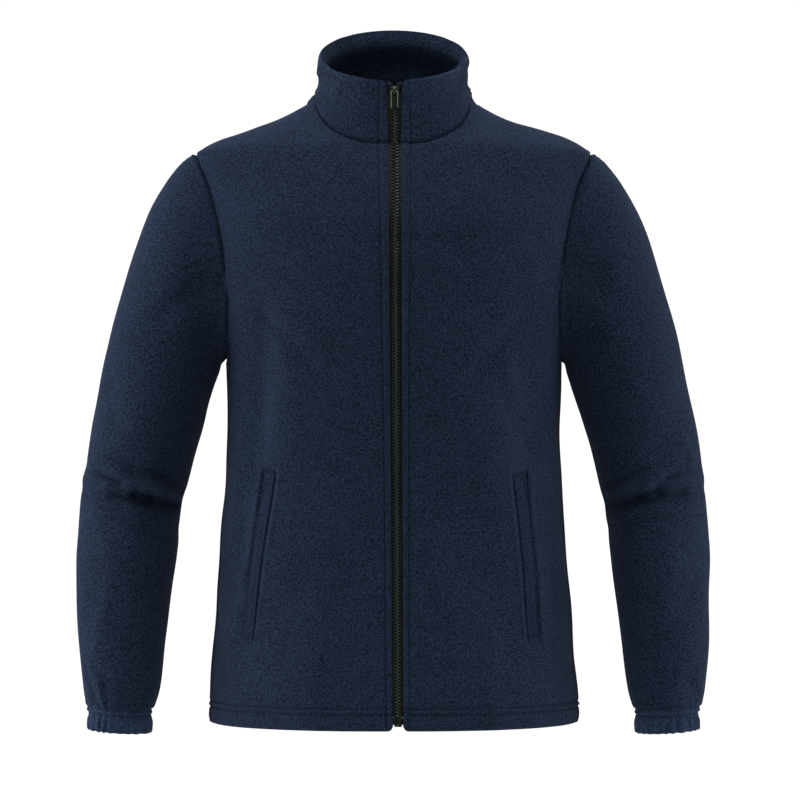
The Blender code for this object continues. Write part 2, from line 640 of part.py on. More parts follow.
def share_seam_normals(pieces):
    """Gives every point that pieces share one direction: the mitre between body and limb.

    The fronts and the back count as one beside a sleeve or the collar. The direction is
    lengthened, as a mitre is, so that the cloth keeps its thickness up to the seam.
    """
    spots = [(piece, index) for piece in pieces for index in np.ndindex(piece.points.shape[:2])]
    tree = KDTree(len(spots))
    for number, (piece, index) in enumerate(spots):
        tree.insert(piece.points[index], number)
    tree.balance()
    shared = []
    for piece, index in spots:
        near = tree.find_range(piece.points[index], SAME_POINT)
        limbs = {"body": np.zeros(3)}
        for _, number, _ in near:
            other, spot = spots[number]
            limb = "body" if other.name in BODY_PIECES else other.name
            limbs[limb] = limbs.get(limb, 0.0) + other.normals[spot]
        facing = [unit(normal) for normal in limbs.values() if np.any(normal)]
        mitre = unit(np.sum(facing, axis=0))
        shared.append(mitre / max(float(mitre @ facing[0]), SHARPEST_MITRE))
    for (piece, index), normal in zip(spots, shared):
        piece.normals[index] = normal


def cell_triangles(corners, places):
    """Splits a four-cornered cell along its shorter diagonal."""
    a, b, c, d = corners
    if np.linalg.norm(places[0] - places[2]) <= np.linalg.norm(places[1] - places[3]):
        return [[a, b, c], [a, c, d]]
    return [[b, c, d], [b, d, a]]


def wall_mesh(name, outer, inner, flip=False, ring=False):
    """Closed wall between an outer and an inner grid of points."""
    rows, columns = outer.shape[:2]
    skin = rows * columns
    around = columns if ring else columns - 1

    def spot(i, j, inside):
        return inside * skin + i * columns + j % columns

    def skin_cell(i, j, inside):
        cell = ((i, j), (i, j + 1), (i + 1, j + 1), (i + 1, j))
        places = [outer[row, col % columns] for row, col in cell]
        triangles = cell_triangles([spot(row, col, inside) for row, col in cell], places)
        return [triangle[::-1] for triangle in triangles] if inside else triangles

    def rim(a, b):
        """Edge face, turned so that both sides of a seam are split the same way."""
        lean = outer[a] @ RIM_ORDER < outer[b] @ RIM_ORDER
        corners = [spot(*a, 0), spot(*b, 0), spot(*b, 1), spot(*a, 1)]
        return corners if lean else corners[1:] + corners[:1]

    faces = [triangle for inside in (0, 1) for i in range(rows - 1) for j in range(around)
             for triangle in skin_cell(i, j, inside)]
    for j in range(around):
        after = (j + 1) % columns
        faces.append(rim((0, after), (0, j)))
        faces.append(rim((rows - 1, j), (rows - 1, after)))
    if not ring:
        for i in range(rows - 1):
            faces.append(rim((i, 0), (i + 1, 0)))
            faces.append(rim((i + 1, columns - 1), (i, columns - 1)))
    if flip:
        faces = [face[:1] + face[:0:-1] for face in faces]
    mesh = bpy.data.meshes.new(name)
    points = np.concatenate([outer.reshape(-1, 3), inner.reshape(-1, 3)])
    mesh.from_pydata(points.tolist(), [], faces)
    mesh.validate()
    return mesh


# ---------------------------------------------------------------- scene helpers
def clear_scene():
    for item in list(bpy.data.objects):
        bpy.data.objects.remove(item)


def new_collection(name):
    collection = bpy.data.collections.new(name)
    bpy.context.scene.collection.children.link(collection)
    return collection


def material(name, colour, roughness, metallic=0.0):
    result = bpy.data.materials.new(name)
    result.use_nodes = True
    shader = result.node_tree.nodes["Principled BSDF"]
    shader.inputs["Base Color"].default_value = colour
    shader.inputs["Roughness"].default_value = roughness
    shader.inputs["Metallic"].default_value = metallic
    return result


def add_object(collection, mesh, finish, smooth=True):
    item = bpy.data.objects.new(mesh.name, mesh)
    mesh.materials.append(finish)
    if smooth:
        mesh.shade_smooth()
        mesh.set_sharp_from_angle(angle=math.radians(50))
    collection.objects.link(item)
    return item


def add_cloth(collection, piece, finish):
    outer = piece.draw_back()
    inner = outer - piece.normals * piece.thickness[..., None]
    mesh = wall_mesh(piece.name, outer, inner, piece.flip, piece.ring)
    return add_object(collection, mesh, finish)


def block_mesh(name, size, centre=(0, 0, 0), bevel=0.0):
    """Box with slightly rounded edges, measured along X, Y and Z."""
    form = bmesh.new()
    place = Matrix.Translation(centre) @ Matrix.Diagonal((*size, 1))
    bmesh.ops.create_cube(form, size=1.0, matrix=place)
    if bevel:
        bmesh.ops.bevel(form, geom=list(form.edges), offset=bevel, segments=1, affect="EDGES")
    mesh = bpy.data.meshes.new(name)
    form.to_mesh(mesh)
    form.free()
    return mesh


def combine(target, cutter, operation):
    """Boolean of two objects, left on the target as a modifier."""
    step = target.modifiers.new(cutter.name, "BOOLEAN")
    step.operation = operation
    step.object = cutter
    cutter.hide_render = True
    cutter.display_type = "WIRE"


# ---------------------------------------------------------------- cut pieces
def hem_thickness(points):
    turned = points[..., 2] < HEM_Z + HEM_TURN + SAME_POINT
    return np.where(turned, DOUBLE, CLOTH)


def mirrored(points):
    return points * (-1, 1, 1)


def make_cloth_pieces():
    """Every sewn piece, keyed by name, with the seam directions shared."""
    pieces = {}
    for name, side in (("left", 1), ("right", -1)):
        points = front_panel(side)
        thickness = hem_thickness(points)
        points = points if side > 0 else mirrored(points)
        pieces["front_" + name] = ClothPiece(
            "front_" + name, points, thickness, ("last_row", "last_column"), flip=side < 0)
    back = back_panel()
    pieces["back"] = ClothPiece("back", back, hem_thickness(back),
                                ("last_row", "first_column", "last_column"), flip=True)
    arm = sleeve()
    for name, points, flip in (("left", arm, False), ("right", mirrored(arm), True)):
        pieces["sleeve_" + name] = ClothPiece(
            "sleeve_" + name, points, CLOTH, ("first_row", "last_row"), flip=flip, ring=True)
    pieces["collar"] = make_collar(pieces)
    share_seam_normals(pieces.values())
    wrist, wall = cuff()
    for name, points, flip in (("left", wrist, False), ("right", mirrored(wrist), True)):
        piece = ClothPiece("cuff_" + name, points, wall, ("first_row",), flip=flip, ring=True)
        piece.normals = unit(points - points.mean(axis=1, keepdims=True))
        pieces[piece.name] = piece
    return pieces


def make_collar(pieces):
    """The collar stands on the neck seam that the fronts and the back share."""
    on_neck = sum(1 for share in FRONT_COLUMNS if share <= 0.5)
    back_neck = sum(1 for share in BACK_COLUMNS if share <= 0.5)
    right = pieces["front_right"].points[-1, :on_neck]
    left = pieces["front_left"].points[-1, :on_neck][::-1]
    middle = (pieces["back"].points.shape[1] - 1) // 2
    back = pieces["back"].points[-1, middle - back_neck + 1:middle + back_neck]
    neck_line = np.concatenate([right[:-1], back, left[1:]])
    points = collar(neck_line)
    thickness = np.array([row.thickness for row in COLLAR_ROWS])[:, None] * DOUBLE
    thickness = np.repeat(thickness, len(neck_line), axis=1)
    for beside_zip in (np.s_[:, :TAPE_COLUMNS], np.s_[:, -TAPE_COLUMNS:]):
        thickness[beside_zip] = np.minimum(thickness[beside_zip], CLOTH)
    return ClothPiece("collar", points, thickness, ("first_row",), flip=True)


def outer_skin(points, flip):
    """Triangles of a piece's outer face, split as its wall is."""
    form = bmesh.new()
    rows, columns = points.shape[:2]
    grid = [[form.verts.new(points[i, j]) for j in range(columns)] for i in range(rows)]
    for i in range(rows - 1):
        for j in range(columns - 1):
            cell = ((i, j), (i, j + 1), (i + 1, j + 1), (i + 1, j))
            places = [points[row, col] for row, col in cell]
            for triangle in cell_triangles([grid[row][col] for row, col in cell], places):
                form.faces.new(triangle[::-1] if flip else triangle)
    return form


def add_pocket_welts(collection, pieces, finish):
    """Raised slanted strips, cut from the outer faces of the fronts and moved out."""
    for name, side in (("left", 1), ("right", -1)):
        front = pieces["front_" + name]
        form = outer_skin(front.points, front.flip)
        top, bottom = POCKETS[name]
        drop = top.z - bottom.z
        cuts = [((0, 0, top.z), (0, 0, 1)), ((0, 0, bottom.z), (0, 0, -1))]
        for edge, outward in (("outer_x", 1), ("inner_x", -1)):
            top_x, bottom_x = getattr(top, edge), getattr(bottom, edge)
            cuts.append(((side * top_x, 0, top.z),
                         (side * outward * drop, 0, outward * (bottom_x - top_x))))
        for place, normal in cuts:
            bmesh.ops.bisect_plane(form, geom=form.verts[:] + form.edges[:] + form.faces[:],
                                   dist=1e-6, plane_co=place, plane_no=normal, clear_outer=True)
        bmesh.ops.dissolve_degenerate(form, edges=form.edges, dist=SAME_POINT)
        form.normal_update()
        for vertex, normal in [(vertex, vertex.normal.copy()) for vertex in form.verts]:
            vertex.co += normal * (GAP + POCKET_RAISE)
        bmesh.ops.solidify(form, geom=form.faces[:], thickness=POCKET_RAISE)
        mesh = bpy.data.meshes.new("pocket_welt_" + name)
        form.to_mesh(mesh)
        form.free()
        add_object(collection, mesh, finish)


# ---------------------------------------------------------------- zip
def zip_rows(pieces, name):
    """Outer points and directions along one opening edge, from the hem to the collar's rim."""
    front, stand = pieces["front_" + name], pieces["collar"]
    columns = np.s_[:TAPE_COLUMNS] if name == "right" else np.s_[:-TAPE_COLUMNS - 1:-1]
    points = np.concatenate([front.points[1:, :TAPE_COLUMNS], stand.points[1:-1, columns]])
    normals = np.concatenate([front.normals[1:, :TAPE_COLUMNS], stand.normals[1:-1, columns]])
    return points, normals


def add_zip_tape(collection, pieces, name, finish):
    """Tape behind the front edge, reaching out to the side of the teeth."""
    side = 1 if name == "left" else -1
    points, normals = zip_rows(pieces, name)
    face = points - normals * (hem_thickness(points[:, :1]) + GAP)[..., None]
    chain_side = face[:, :1].copy()
    chain_side[:, 0, 0] = zip_x(points[:, 0, 2]) + side * (CHAIN_HALF + GAP)
    face = np.concatenate([chain_side, face], axis=1)
    normals = np.concatenate([normals[:, :1], normals], axis=1)
    mesh = wall_mesh("zip_tape_" + name, face, face - normals * TAPE, flip=side < 0)
    add_object(collection, mesh, finish)


def zip_line(pieces):
    """Heights and forward faces of the cloth along the zip."""
    points, _ = zip_rows(pieces, "left")
    return points[:, 0, 2], points[:, 0, 1]


def add_zip_chain(collection, pieces, finish):
    """The closed teeth as one strip, from the box to the slider."""
    heights, faces = zip_line(pieces)
    bottom, top = HEM_Z + CHAIN_BOTTOM, SLIDER_Z - SLIDER_LENGTH / 2 - GAP
    inside = heights[(heights > bottom + CHAIN_END_CELL) & (heights < top - CHAIN_END_CELL)]
    z = np.concatenate([[bottom], inside, [top]])
    y = np.interp(z, heights, faces) + CHAIN_SET
    x = zip_x(z)[:, None] + np.array([-CHAIN_HALF, 0.0, CHAIN_HALF])[None, :]
    front = stack(x, y[:, None], z[:, None])
    back = front + np.array([0.0, CHAIN_DEPTH, 0.0])
    add_object(collection, wall_mesh("zip_chain", front, back), finish, smooth=False)


def slider_frame(pieces):
    """Place and lean of the slider: the middle of the chain, following the collar."""
    heights, faces = zip_line(pieces)
    half = SLIDER_LENGTH / 2
    ends = np.interp([SLIDER_Z - half, SLIDER_Z + half], heights, faces)
    lean = math.atan2(ends[1] - ends[0], SLIDER_LENGTH)
    y = float(ends.mean()) + CHAIN_SET + CHAIN_DEPTH / 2
    spot = Vector((zip_x(SLIDER_Z), y, SLIDER_Z))
    return Matrix.Translation(spot) @ Matrix.Rotation(-lean, 4, "X")


def add_slider(collection, cutters, frame, finish):
    """Two plates joined by a post, with an arched bridge for the pull tab."""
    plate_y = CHAIN_DEPTH / 2 + GAP + SLIDER_PLATE / 2
    size = (SLIDER_WIDTH, SLIDER_PLATE, SLIDER_LENGTH)
    front = block_mesh("zip_slider", size, (0, -plate_y, 0), SLIDER_BEVEL)
    slider = add_object(collection, front, finish, smooth=False)
    slider.matrix_world = frame
    post = (POST_WIDTH, 2 * plate_y, POST_LENGTH)
    parts = (
        block_mesh("slider_back", size, (0, plate_y, 0)),
        block_mesh("slider_post", post, (0, 0, POST_Z)),
        bridge_mesh("slider_bridge", -plate_y - SLIDER_PLATE / 2),
    )
    for mesh in parts:
        part = add_object(cutters, mesh, finish, smooth=False)
        part.matrix_world = frame
        combine(slider, part, "UNION")


def bridge_mesh(name, plate_face_y):
    """Arched bar that stands on the slider's front plate and sinks a little into it."""
    bars = []
    for grow in (BRIDGE_BAR / 2, -BRIDGE_BAR / 2):
        top = BRIDGE_HEIGHT - BRIDGE_BAR / 2 + grow
        reach = BRIDGE_LENGTH / 2 + grow
        side = ((reach, -BRIDGE_SUNK), (reach, top * 0.62), (reach * 0.86, top * 0.90),
                (reach * 0.55, top))
        line = np.array(side + tuple((-z, y) for z, y in side[::-1]))
        x = np.array([-BRIDGE_WIDTH / 2, BRIDGE_WIDTH / 2])[None, :]
        bars.append(stack(x, plate_face_y - line[:, 1:], line[:, :1]))
    return wall_mesh(name, *bars, flip=True)


def add_pull_tab(collection, cutters, frame, finish):
    """Flat tab whose top bar turns under the bridge; its origin is on that bar's axis."""
    plate_y = CHAIN_DEPTH / 2 + GAP + SLIDER_PLATE
    axis_y = -plate_y - (BRIDGE_HEIGHT - BRIDGE_BAR) / 2
    tab_frame = frame @ Matrix.Translation((0, axis_y, 0.0))
    centre = (0, 0, TAB_BAR / 2 - TAB_LENGTH / 2)
    plate = block_mesh("zip_pull_tab", (TAB_WIDTH, TAB_THICKNESS, TAB_LENGTH), centre, END_BEVEL)
    tab = add_object(collection, plate, finish, smooth=False)
    tab.matrix_world = tab_frame
    eye_size = (TAB_EYE_WIDTH, 4 * TAB_THICKNESS, TAB_EYE_LENGTH)
    eye = block_mesh("tab_eye", eye_size, (0, 0, -TAB_BAR / 2 - TAB_EYE_LENGTH / 2))
    hole = add_object(cutters, eye, finish, smooth=False)
    hole.matrix_world = tab_frame
    combine(tab, hole, "DIFFERENCE")


def add_zip_ends(collection, pieces, frame, finish):
    """Top stops above the slider, and the box and pin that end the chain at the hem."""
    for name, side in (("left", 1), ("right", -1)):
        centre = (side * STOP_X, 0, SLIDER_LENGTH / 2 + GAP + STOP_SIZE[2] / 2)
        block = block_mesh("zip_stop_" + name, STOP_SIZE, centre, END_BEVEL)
        stop = add_object(collection, block, finish, smooth=False)
        stop.matrix_world = frame
    heights, faces = zip_line(pieces)
    z = HEM_Z + CHAIN_BOTTOM - GAP - BOX_SIZE[2] / 2
    y = float(np.interp(z, heights, faces)) + CHAIN_SET + CHAIN_DEPTH / 2
    middle = zip_x(z)
    total = BOX_SIZE[0] + GAP + PIN_SIZE[0]
    box_x = middle + total / 2 - BOX_SIZE[0] / 2
    pin_x = middle - total / 2 + PIN_SIZE[0] / 2
    for name, size, x in (("zip_box", BOX_SIZE, box_x), ("zip_pin", PIN_SIZE, pin_x)):
        block = block_mesh(name, size, bevel=END_BEVEL)
        add_object(collection, block, finish, smooth=False).location = (x, y, z)


# ---------------------------------------------------------------- jacket
def main():
    clear_scene()
    jacket = new_collection("fleece_zip_jacket")
    cutters = new_collection("cutters")
    fleece = material("navy_fleece", FLEECE, 0.95)
    welt_fleece = material("navy_fleece_welt", FLEECE_DARK, 0.95)
    plastic = material("black_moulded_plastic", ZIP_PLASTIC, 0.42)
    tape = material("black_woven_tape", ZIP_CLOTH, 0.80)

    pieces = make_cloth_pieces()
    for piece in pieces.values():
        add_cloth(jacket, piece, fleece)
    add_pocket_welts(jacket, pieces, welt_fleece)
    for name in ("left", "right"):
        add_zip_tape(jacket, pieces, name, tape)
    add_zip_chain(jacket, pieces, plastic)
    frame = slider_frame(pieces)
    add_slider(jacket, cutters, frame, plastic)
    add_pull_tab(jacket, cutters, frame, plastic)
    add_zip_ends(jacket, pieces, frame, plastic)


main()
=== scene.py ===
"""Looks of the fleece zip jacket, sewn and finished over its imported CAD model.

Metres. +Z up, the wearer faces -Y and the wearer's left is +X. The origin is the middle of
the neck, level with the top of the shoulders. Every cut piece is a fine grid of points on
the same form as its CAD solid. Seams, hems, rolled edges and stitched lines are raised or
sunk from that form, and the thread, the zip's teeth and its slider are built one by one.
"""

import json
import math
from collections import namedtuple
from functools import lru_cache

import bmesh
import bpy
import numpy as np
from mathutils import Matrix, Vector
from mathutils.kdtree import KDTree

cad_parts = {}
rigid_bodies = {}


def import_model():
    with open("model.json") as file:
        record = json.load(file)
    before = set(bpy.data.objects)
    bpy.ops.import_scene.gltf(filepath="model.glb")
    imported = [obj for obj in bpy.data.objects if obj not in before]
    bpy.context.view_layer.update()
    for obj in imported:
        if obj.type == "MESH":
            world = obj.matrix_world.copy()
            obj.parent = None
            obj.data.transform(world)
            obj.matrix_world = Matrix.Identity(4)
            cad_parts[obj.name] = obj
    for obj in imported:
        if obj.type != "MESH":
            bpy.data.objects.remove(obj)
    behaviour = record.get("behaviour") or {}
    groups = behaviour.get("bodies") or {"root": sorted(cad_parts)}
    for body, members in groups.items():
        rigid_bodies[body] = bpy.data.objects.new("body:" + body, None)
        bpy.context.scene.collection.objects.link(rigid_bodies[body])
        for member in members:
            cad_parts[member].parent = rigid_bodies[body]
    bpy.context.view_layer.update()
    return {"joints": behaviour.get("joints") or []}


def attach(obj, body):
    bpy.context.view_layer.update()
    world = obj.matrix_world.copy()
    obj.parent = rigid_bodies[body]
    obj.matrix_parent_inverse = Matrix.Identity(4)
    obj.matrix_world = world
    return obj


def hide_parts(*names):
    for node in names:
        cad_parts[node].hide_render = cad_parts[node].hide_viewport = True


bl_info = {
    "name": "Fleece Zip Jacket",
    "version": (1, 0, 0),
    "blender": (4, 5, 0),
    "location": "View3D > Sidebar > Jacket",
    "description": "Sews, zips and lights a fleece jacket on its CAD frame",
    "category": "Object",
}


def clear_scene():
    for item in list(bpy.data.objects):
        bpy.data.objects.remove(item)


clear_scene()
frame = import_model()
TAB_PIVOT = Vector(frame["joints"][0]["pos_m"])

# ---------------------------------------------------------------- sizes shared with the CAD
CLOTH = 0.0025
DOUBLE = 0.0050
TAPE = 0.0010
GAP = 0.0003
HEM_Z = -0.7012
HEM_TURN = 0.0200
HEM_CORNER = 0.0060
ARMPIT_Z = -0.2935
SHOULDER_TIP_Z = -0.0616
NECK_SIDE_Z = 0.0100
NECK_FRONT_Z = -0.0550
NECK_BACK_Z = 0.0190
CHEST_Z = -0.2000
SIDE_SEAM_FORWARD = math.radians(8.0)
ARMHOLE_FRONT = math.radians(17.0)
ARMHOLE_BACK = math.radians(14.0)
ARMHOLE_SCOOP = 0.25
ARMHOLE_ROUND = 0.85
ZIP_TOP_X = 0.0012
ZIP_BOTTOM_X = 0.0053
OPENING_TOP = 0.0074
OPENING_BOTTOM = 0.0059
CHAIN_HALF = 0.0042
CHAIN_DEPTH = 0.0030
CHAIN_SET = 0.0010
CHAIN_BOTTOM = 0.0165
RIM_HALF_WIDTH = 0.0838
RIM_FRONT_Y = -0.0780
RIM_BACK_Y = 0.0640
RIM_MIDDLE_Z = 0.0540
RIM_SLOPE = 0.4950
RIM_CORNER = 0.0090
NECK_HALF_WIDTH = 0.0895
NECK_HALF_DEPTH = 0.0830
NECK_MIDDLE_Y = -0.0060
CUFF_TOP_Z = -0.6812
CUFF_HEIGHT = 0.0265
CUFF_X = 0.3083
CUFF_Y = -0.0300
CUFF_HALF_WIDTH = 0.0366
CUFF_HALF_DEPTH = 0.0400
CUFF_TILT = math.radians(2.5)
SLIDER_Z = 0.0020
SLIDER_LENGTH = 0.0135
SLIDER_PLATE = 0.0014
BRIDGE_HEIGHT = 0.0036
BRIDGE_LENGTH = 0.0078
TAB_WIDTH = 0.0081
TAB_LENGTH = 0.0200
TAB_THICKNESS = 0.0014
TAB_BAR = 0.0014
TAB_EYE_LENGTH = 0.0050
STOP_SIZE = (0.0022, 0.0034, 0.0032)
STOP_X = 0.0031
BOX_SIZE = (0.0062, 0.0040, 0.0112)
PIN_SIZE = (0.0030, 0.0034, 0.0112)
FOLD_FADE = 0.22
FOLD_SIDE_BLEND = 0.0600
ARM_RADIUS = 0.0600
PATH_SAMPLES = 400
SIDE_PULL = 2.0
NECK_PULL = 3.0
SLEEVE_CAP_ROWS = 3.0
SIDES = {"left": 1, "right": -1}   # of the wearer, and the sign of x there


def rows_of(kind, rows):
    """Rows of a table, under the column names of a named tuple."""
    return tuple(kind(*row) for row in rows)


BodySection = namedtuple("BodySection", "z half_width front back squareness")
BODY = rows_of(BodySection, (
    (-0.7012, 0.2056, 0.1360, 0.1270, 2.35),
    (-0.6850, 0.2070, 0.1358, 0.1262, 2.35),
    (-0.6215, 0.2032, 0.1335, 0.1215, 2.35),
    (-0.5580, 0.1982, 0.1310, 0.1150, 2.32),
    (-0.5110, 0.1945, 0.1290, 0.1090, 2.30),
    (-0.4320, 0.1890, 0.1270, 0.1035, 2.28),
    (-0.3680, 0.1866, 0.1275, 0.1055, 2.25),
    (-0.2940, 0.1885, 0.1290, 0.1120, 2.25),
    (-0.2500, 0.1955, 0.1295, 0.1170, 2.25),
    (-0.2050, 0.2019, 0.1290, 0.1205, 2.25),
    (-0.1420, 0.2106, 0.1220, 0.1220, 2.22),
    (-0.1000, 0.2160, 0.1085, 0.1190, 2.20),
    (-0.0616, 0.2220, 0.0915, 0.1100, 2.20),
    (-0.0550, 0.2145, 0.0880, 0.1080, 2.20),
    (-0.0452, 0.1955, 0.0765, 0.1045, 2.20),
    (-0.0384, 0.1760, 0.0695, 0.1015, 2.20),
    (-0.0316, 0.1560, 0.0620, 0.0985, 2.20),
    (-0.0249, 0.1356, 0.0570, 0.0955, 2.15),
    (-0.0181, 0.1200, 0.0530, 0.0920, 2.10),
    (-0.0113, 0.1070, 0.0500, 0.0885, 2.10),
    (-0.0045, 0.0960, 0.0480, 0.0850, 2.10),
    (0.0025, 0.0908, 0.0470, 0.0815, 2.10),
    (0.0100, 0.0885, 0.0460, 0.0780, 2.10),
    (0.0190, 0.0875, 0.0450, 0.0735, 2.10),
    (0.0400, 0.0870, 0.0450, 0.0680, 2.10),
))

NeckPoint = namedtuple("NeckPoint", "x z")
NECK_SEAM_FRONT = rows_of(NeckPoint, (
    (0.0060, -0.0550),
    (0.0180, -0.0549),
    (0.0320, -0.0538),
    (0.0482, -0.0490),
    (0.0650, -0.0400),
    (0.0777, -0.0280),
    (0.0862, -0.0110),
    (0.0885, 0.0100),
))

SleeveSection = namedtuple("SleeveSection", "outer_x outer_z inner_x inner_z y half_depth")
SLEEVE = rows_of(SleeveSection, (
    (0.2220, -0.0616, 0.1885, -0.2935, 0.0020, 0.0540),
    (0.2325, -0.0652, 0.1926, -0.2952, 0.0025, 0.0600),
    (0.2503, -0.0836, 0.1946, -0.2995, 0.0030, 0.0650),
    (0.2701, -0.1153, 0.1968, -0.3080, 0.0040, 0.0680),
    (0.2855, -0.1485, 0.2005, -0.3190, 0.0050, 0.0692),
    (0.3000, -0.1925, 0.2055, -0.3345, 0.0060, 0.0692),
    (0.3115, -0.2330, 0.2110, -0.3520, 0.0070, 0.0685),
    (0.3220, -0.2735, 0.2170, -0.3725, 0.0080, 0.0675),
    (0.3305, -0.3110, 0.2235, -0.3935, 0.0090, 0.0660),
    (0.3375, -0.3470, 0.2295, -0.4145, 0.0100, 0.0645),
    (0.3438, -0.3790, 0.2345, -0.4345, 0.0105, 0.0630),
    (0.3488, -0.4120, 0.2385, -0.4540, 0.0100, 0.0620),
    (0.3528, -0.4450, 0.2412, -0.4740, 0.0080, 0.0612),
    (0.3562, -0.4850, 0.2440, -0.5010, 0.0050, 0.0598),
    (0.3577, -0.5220, 0.2475, -0.5300, 0.0005, 0.0582),
    (0.3573, -0.5600, 0.2520, -0.5660, -0.0055, 0.0560),
    (0.3553, -0.6020, 0.2565, -0.6080, -0.0130, 0.0528),
    (0.3528, -0.6380, 0.2612, -0.6430, -0.0200, 0.0492),
    (0.3490, -0.6650, 0.2665, -0.6690, -0.0260, 0.0450),
    (0.3449, -0.6796, 0.2717, -0.6828, -0.0300, 0.0404),
))

# The main creases, nearly all as in the CAD. Angles go round the sleeve from its outer line: 90
# is the front, 180 the inner line, -90 the back. Depth is positive for a ridge.
SleeveFold = namedtuple("SleeveFold", "angle_a z_a angle_b z_b width depth")
SLEEVE_FOLDS = rows_of(SleeveFold, (
    (62, -0.4405, 150, -0.4590, 0.0075, -0.0050),
    (45, -0.4555, 120, -0.4690, 0.0085, 0.0032),
    (30, -0.4470, 80, -0.4555, 0.0060, -0.0036),
    (20, -0.4150, 75, -0.4310, 0.0070, -0.0036),
    (30, -0.4290, 120, -0.4400, 0.0080, 0.0034),
    (60, -0.4040, 160, -0.4440, 0.0090, -0.0026),
    (85, -0.4740, 165, -0.4830, 0.0090, -0.0028),
    (-10, -0.4340, -80, -0.4220, 0.0085, -0.0034),
    (-40, -0.4620, -130, -0.4520, 0.0090, -0.0032),
    (-150, -0.4700, -90, -0.4860, 0.0090, -0.0026),
    (100, -0.2000, 150, -0.2700, 0.0160, -0.0030),
    (-100, -0.2050, -150, -0.2800, 0.0160, -0.0030),
    (60, -0.5600, 120, -0.6200, 0.0180, -0.0022),
))

BodyFold = namedtuple("BodyFold", "side x_a z_a x_b z_b width depth")
BODY_FOLDS = rows_of(BodyFold, (
    (1, 0.1500, -0.2600, 0.1480, -0.4200, 0.0220, -0.0045),
    (1, 0.1150, -0.3300, 0.1300, -0.5200, 0.0260, 0.0030),
    (1, 0.1650, -0.4600, 0.1750, -0.6200, 0.0200, -0.0035),
    (1, 0.0700, -0.5600, 0.0900, -0.6900, 0.0300, 0.0025),
    (-1, 0.1400, -0.2400, 0.1200, -0.4000, 0.0260, -0.0045),
    (-1, 0.0800, -0.4200, 0.1100, -0.6200, 0.0300, 0.0035),
    (-1, 0.0300, -0.3600, 0.0200, -0.5400, 0.0300, -0.0030),
))

PocketEnd = namedtuple("PocketEnd", "inner_x outer_x z")
POCKETS = {
    "left": (PocketEnd(0.1310, 0.1469, -0.4198), PocketEnd(0.1491, 0.1623, -0.6033)),
    "right": (PocketEnd(0.1291, 0.1428, -0.4164), PocketEnd(0.1559, 0.1707, -0.6033)),
}
POCKET_RAISE = 0.0022

# ---------------------------------------------------------------- finer folds, each side its own
# x here is signed: these folds don't mirror from one side of the body to the other.
FINE_BODY_FOLDS = rows_of(BodyFold, (
    (1, 0.0905, 0.0040, 0.0950, -0.0030, 0.0060, -0.0032),
    (-1, 0.0905, 0.0040, 0.0950, -0.0030, 0.0060, -0.0032),
    (1, -0.0915, 0.0030, -0.0960, -0.0030, 0.0100, 0.0024),
    (-1, -0.0915, 0.0030, -0.0960, -0.0030, 0.0100, 0.0024),
    (1, -0.1420, -0.2480, -0.1000, -0.2900, 0.0095, -0.0030),
    (1, -0.1340, -0.2340, -0.0880, -0.2700, 0.0090, 0.0016),
    (1, 0.1360, -0.2560, 0.0950, -0.3050, 0.0095, -0.0030),
    (1, 0.1300, -0.2400, 0.0860, -0.2840, 0.0090, 0.0016),
    (1, -0.1000, -0.1660, 0.1040, -0.1640, 0.0080, -0.0014),
    (1, 0.1250, -0.3050, 0.1420, -0.3700, 0.0100, 0.0022),
    (1, 0.1170, -0.3170, 0.1500, -0.3940, 0.0100, -0.0026),
    (1, -0.1434, -0.2700, -0.1522, -0.4100, 0.0120, -0.0034),
    (1, -0.1300, -0.3400, -0.1380, -0.4000, 0.0110, 0.0018),
    (1, -0.0500, -0.5200, -0.0620, -0.6600, 0.0180, -0.0024),
    (1, 0.0550, -0.4300, 0.0400, -0.6000, 0.0200, 0.0018),
    (1, 0.1020, -0.5900, 0.1120, -0.6900, 0.0140, 0.0022),
    (1, 0.1720, -0.5150, 0.1800, -0.5800, 0.0085, -0.0030),
    (1, -0.1700, -0.4950, -0.1830, -0.5700, 0.0085, -0.0030),
    (1, -0.1840, -0.5600, -0.1760, -0.6500, 0.0085, 0.0022),
    (1, -0.1790, -0.4150, -0.1760, -0.5080, 0.0080, 0.0024),
    (-1, 0.1480, -0.2300, 0.0600, -0.3000, 0.0120, -0.0060),
    (-1, 0.1350, -0.2050, 0.0500, -0.2550, 0.0120, 0.0036),
    (-1, -0.1500, -0.2400, -0.0700, -0.3250, 0.0130, -0.0062),
    (-1, -0.1300, -0.2200, -0.0560, -0.2760, 0.0110, 0.0034),
    (-1, 0.0900, -0.0900, -0.0800, -0.0950, 0.0130, -0.0020),
    (-1, -0.1200, -0.3900, -0.0100, -0.4220, 0.0130, -0.0054),
    (-1, 0.0200, -0.4420, 0.1350, -0.4180, 0.0120, -0.0054),
    (-1, -0.0500, -0.4420, 0.0500, -0.4650, 0.0140, 0.0036),
    (-1, -0.0700, -0.5300, -0.0520, -0.6850, 0.0160, -0.0056),
    (-1, 0.0650, -0.5200, 0.0800, -0.6700, 0.0150, 0.0034),
    (-1, 0.1380, -0.4800, 0.1580, -0.6500, 0.0130, -0.0056),
))
